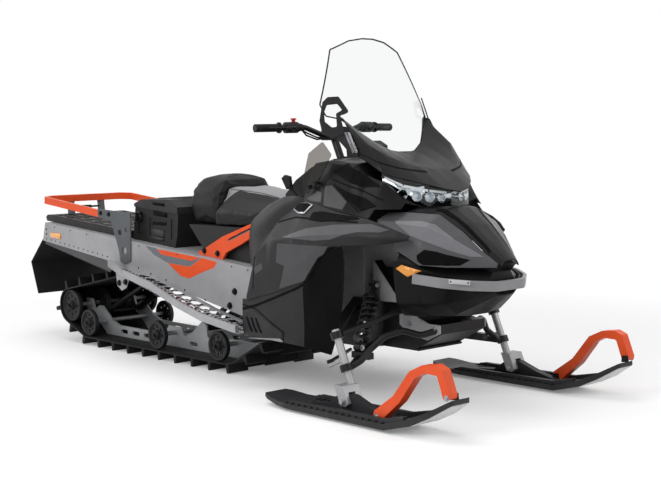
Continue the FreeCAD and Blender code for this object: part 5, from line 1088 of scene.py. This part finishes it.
# %% Controls
BAR_END = spot(352, -385, 1066)
BAR_RUN = (spot(388, -150, 1068) - BAR_END).normalized()
controls = bmesh.new()
block_middle = BAR_END + BAR_RUN * 0.172
across = BAR_RUN.cross(UP).normalized()
add_rod(controls, block_middle - BAR_RUN * 0.03, block_middle + BAR_RUN * 0.03, 0.023, 20)
add_rod(controls, block_middle + BAR_RUN * 0.03, block_middle + BAR_RUN * 0.055, 0.019, 20, 0.014)
add_rod(controls, block_middle - across * 0.018, block_middle + across * 0.034 + DOWN * 0.006,
        0.015, 16, 0.011)
bmesh.ops.bevel(controls, geom=controls.edges[:], offset=0.0015, segments=2, affect="EDGES", profile=0.5,
                material=-1)
lever_root = block_middle + across * 0.034
lever_bend = lever_root - BAR_RUN * 0.06 + across * 0.012
add_rod(controls, lever_root, lever_bend, 0.005, 10, 0.004)
add_rod(controls, lever_bend, lever_root - BAR_RUN * 0.125 - across * 0.004, 0.004, 10)
make_pair("bar_controls", controls, grained_black, "steering")
button = bmesh.new()
top = block_middle + BAR_RUN * 0.012
add_rod(button, top + UP * 0.018, top + UP * 0.032, 0.008, 16)
add_rod(button, top + UP * 0.032, top + UP * 0.038, 0.013, 20, 0.011)
make_piece("stop_button", button, red_plastic, "steering")

# %% [markdown]
# Two cables leave each control block and run along the bar to its clamp. They are short and held all the
# way, so they turn with the bar and keep their shape.

# %% Cables held by the bar
CABLE_RADIUS = 0.0035
cables = bmesh.new()
for offset in (0.0, 0.012):
    course = [block_middle + BAR_RUN * 0.05 + DOWN * 0.008, spot(392, -145, 1046 - offset * 900),
              spot(402, -95, 1026 - offset * 700), spot(410, -48, 1022)]
    for start, stop in zip(course, course[1:]):
        add_rod(cables, start, stop, CABLE_RADIUS, 10)
        bmesh.ops.create_uvsphere(cables, u_segments=10, v_segments=6, radius=CABLE_RADIUS,
                                  matrix=Matrix.Translation(stop))
make_pair("bar_cables", cables, soft_rubber, "steering")

# %% [markdown]
# The gauge has a glossy black face, and a small paddle lever stands beside the console.

# %% Gauge face and start lever
gauge = bmesh.new()
add_plate(gauge, [spot(563, -70, 996), spot(563, 70, 996), spot(596, 70, 1006), spot(596, -70, 1006)],
          Vector((-0.0006, 0, 0.0022)))
make_piece("gauge_face", gauge, gloss_black)
paddle = bmesh.new()
add_rod(paddle, spot(362, -149, 768), spot(322, -186, 826), 0.004, 12)
add_plate(paddle, [spot(330, -180, 812), spot(312, -188, 812), spot(290, -196, 858), spot(306, -192, 872),
                   spot(328, -186, 866)], Vector((0.003, 0.011, 0)))
bmesh.ops.recalc_face_normals(paddle, faces=paddle.faces)
make_piece("start_lever", paddle, grained_black)

# %% [markdown]
# ## Silver clip and push rivets
# The ring that steadies the screen stands on a plate with a bright double clip, and push rivets with soft
# heads hold the smoked deflectors.

# %% Clip and knobs
clip = bmesh.new()
for shift in (0, 17):
    add_plate(clip, upright(-250.6, [(734 + shift, 1046), (746 + shift, 1044), (792 + shift, 968),
                                     (780 + shift, 964)]), Vector((0, -0.004, 0)))
make_pair("plate_clip", clip, zinc)
knobs = bmesh.new()
for x, z in ((612, 835), (650, 850)):
    add_rod(knobs, spot(x, -330.2, z), spot(x, -338, z), 0.009, 20, 0.007)
make_pair("deflector_knobs", knobs, soft_rubber)

# %% [markdown]
# ## Front suspension
# A coil-over shock has a bright damper rod and a threaded body; its eyes are bolted through rubber bushes.
# The tower's gusset and the arm mounts are bare castings, paler than the frame behind them.

# %% Gussets, eye bolts and damper rods
gussets = bmesh.new()
add_plate(gussets, upright(-165.4, [(800, 548), (946, 391), (792, 388)]), Vector((0, -0.0012, 0)))
add_plate(gussets, upright(-125.4, [(905, 340), (960, 352), (1060, 316), (1116, 316), (1116, 284),
                                    (1050, 252), (960, 268), (905, 300)]), Vector((0, -0.006, 0)))
make_pair("arm_mount_castings", gussets, cast_metal)
SHOCK_EYES = spot(818, -181.3, 452), spot(882, -330, 232)
bushes = bmesh.new()
for eye in SHOCK_EYES:
    for way in (-1, 1):
        add_bolt(bushes, eye + Vector((way * 0.0162, 0, 0)), (way, 0, 0), 0.014)
for x, y, z in ((956, -131.6, 306), (1090, -131.6, 298)):
    add_bolt(bushes, spot(x, y, z), (0, -1, 0), 0.016)
make_pair("suspension_bolts", bushes, zinc)
rods = bmesh.new()
upper, lower = SHOCK_EYES
add_rod(rods, upper.lerp(lower, 0.6), upper.lerp(lower, 0.9), 0.0092, 20)
make_pair("damper_rods", rods, chrome)

# %% [markdown]
# ## The skis
# A moulded ski has rows of cross ribs beside its spine and small teeth along its edges, and a pale base
# that shows under the turned-up tip. Tabs with bolts hold the handle. All of it rides on the ski.

# %% Ski details
SKI_MIDDLE = 480
TAB_INNER = 16 + 0.6
for side, way in (("right", 1), ("left", -1)):
    body = f"{side}_ski"
    node = f"ski_{side}"
    middle_y = -SKI_MIDDLE * way
    ribs = []
    for x in range(760, 1230, 26):
        for low, high in ((22, 58), (-58, -22)):
            if not (870 < x < 1120 and abs(low) < 30):
                ribs.append(oblong(x, middle_y + low, 7, high - low))
    laid_piece(f"ski_ribs_{side}", [node], 0.004, ribs, black_grey, heading=DOWN, mirror=False, body=body)
    teeth = []
    for x in range(720, 1250, 34):
        for low, high in ((84, 89), (-89, -84)):
            teeth.append(oblong(x, middle_y + low, 10, high - low))
    laid_piece(f"ski_teeth_{side}", [node], 0.006, teeth, grained_black, heading=DOWN, mirror=False,
               body=body)
    base_sheet = [[(x, middle_y + y) for x, y in ((1275, -84), (1440, -70), (1520, -42), (1520, 42),
                                                  (1440, 70), (1275, 84))]]
    laid_piece(f"ski_base_{side}", [node], 0.0012, base_sheet, white_plastic, heading=UP,
               mirror=False, body=body)
    bolts = bmesh.new()
    for face in (516.2, 443.8):
        add_bolt(bolts, spot(985, -face * way, 66), (0, way * (-1 if face > SKI_MIDDLE else 1), 0), 0.022)
    tabs = bmesh.new()
    inner = -(SKI_MIDDLE + TAB_INNER) * way + 1.2 * way
    for x, z in ((1180, 44), (1512, 156)):
        tab = upright(inner, [(x - 16, z - 14), (x + 16, z - 10), (x + 13, z + 15), (x - 13, z + 12)])
        add_plate(tabs, tab, Vector((0, 0.004 * way, 0)))
        add_bolt(bolts, spot(x, -536.2 * way, z), (0, -way, 0), 0.014)
    make_piece(f"ski_bolts_{side}", bolts, zinc, body)
    make_piece(f"ski_tabs_{side}", tabs, black_powder, body)
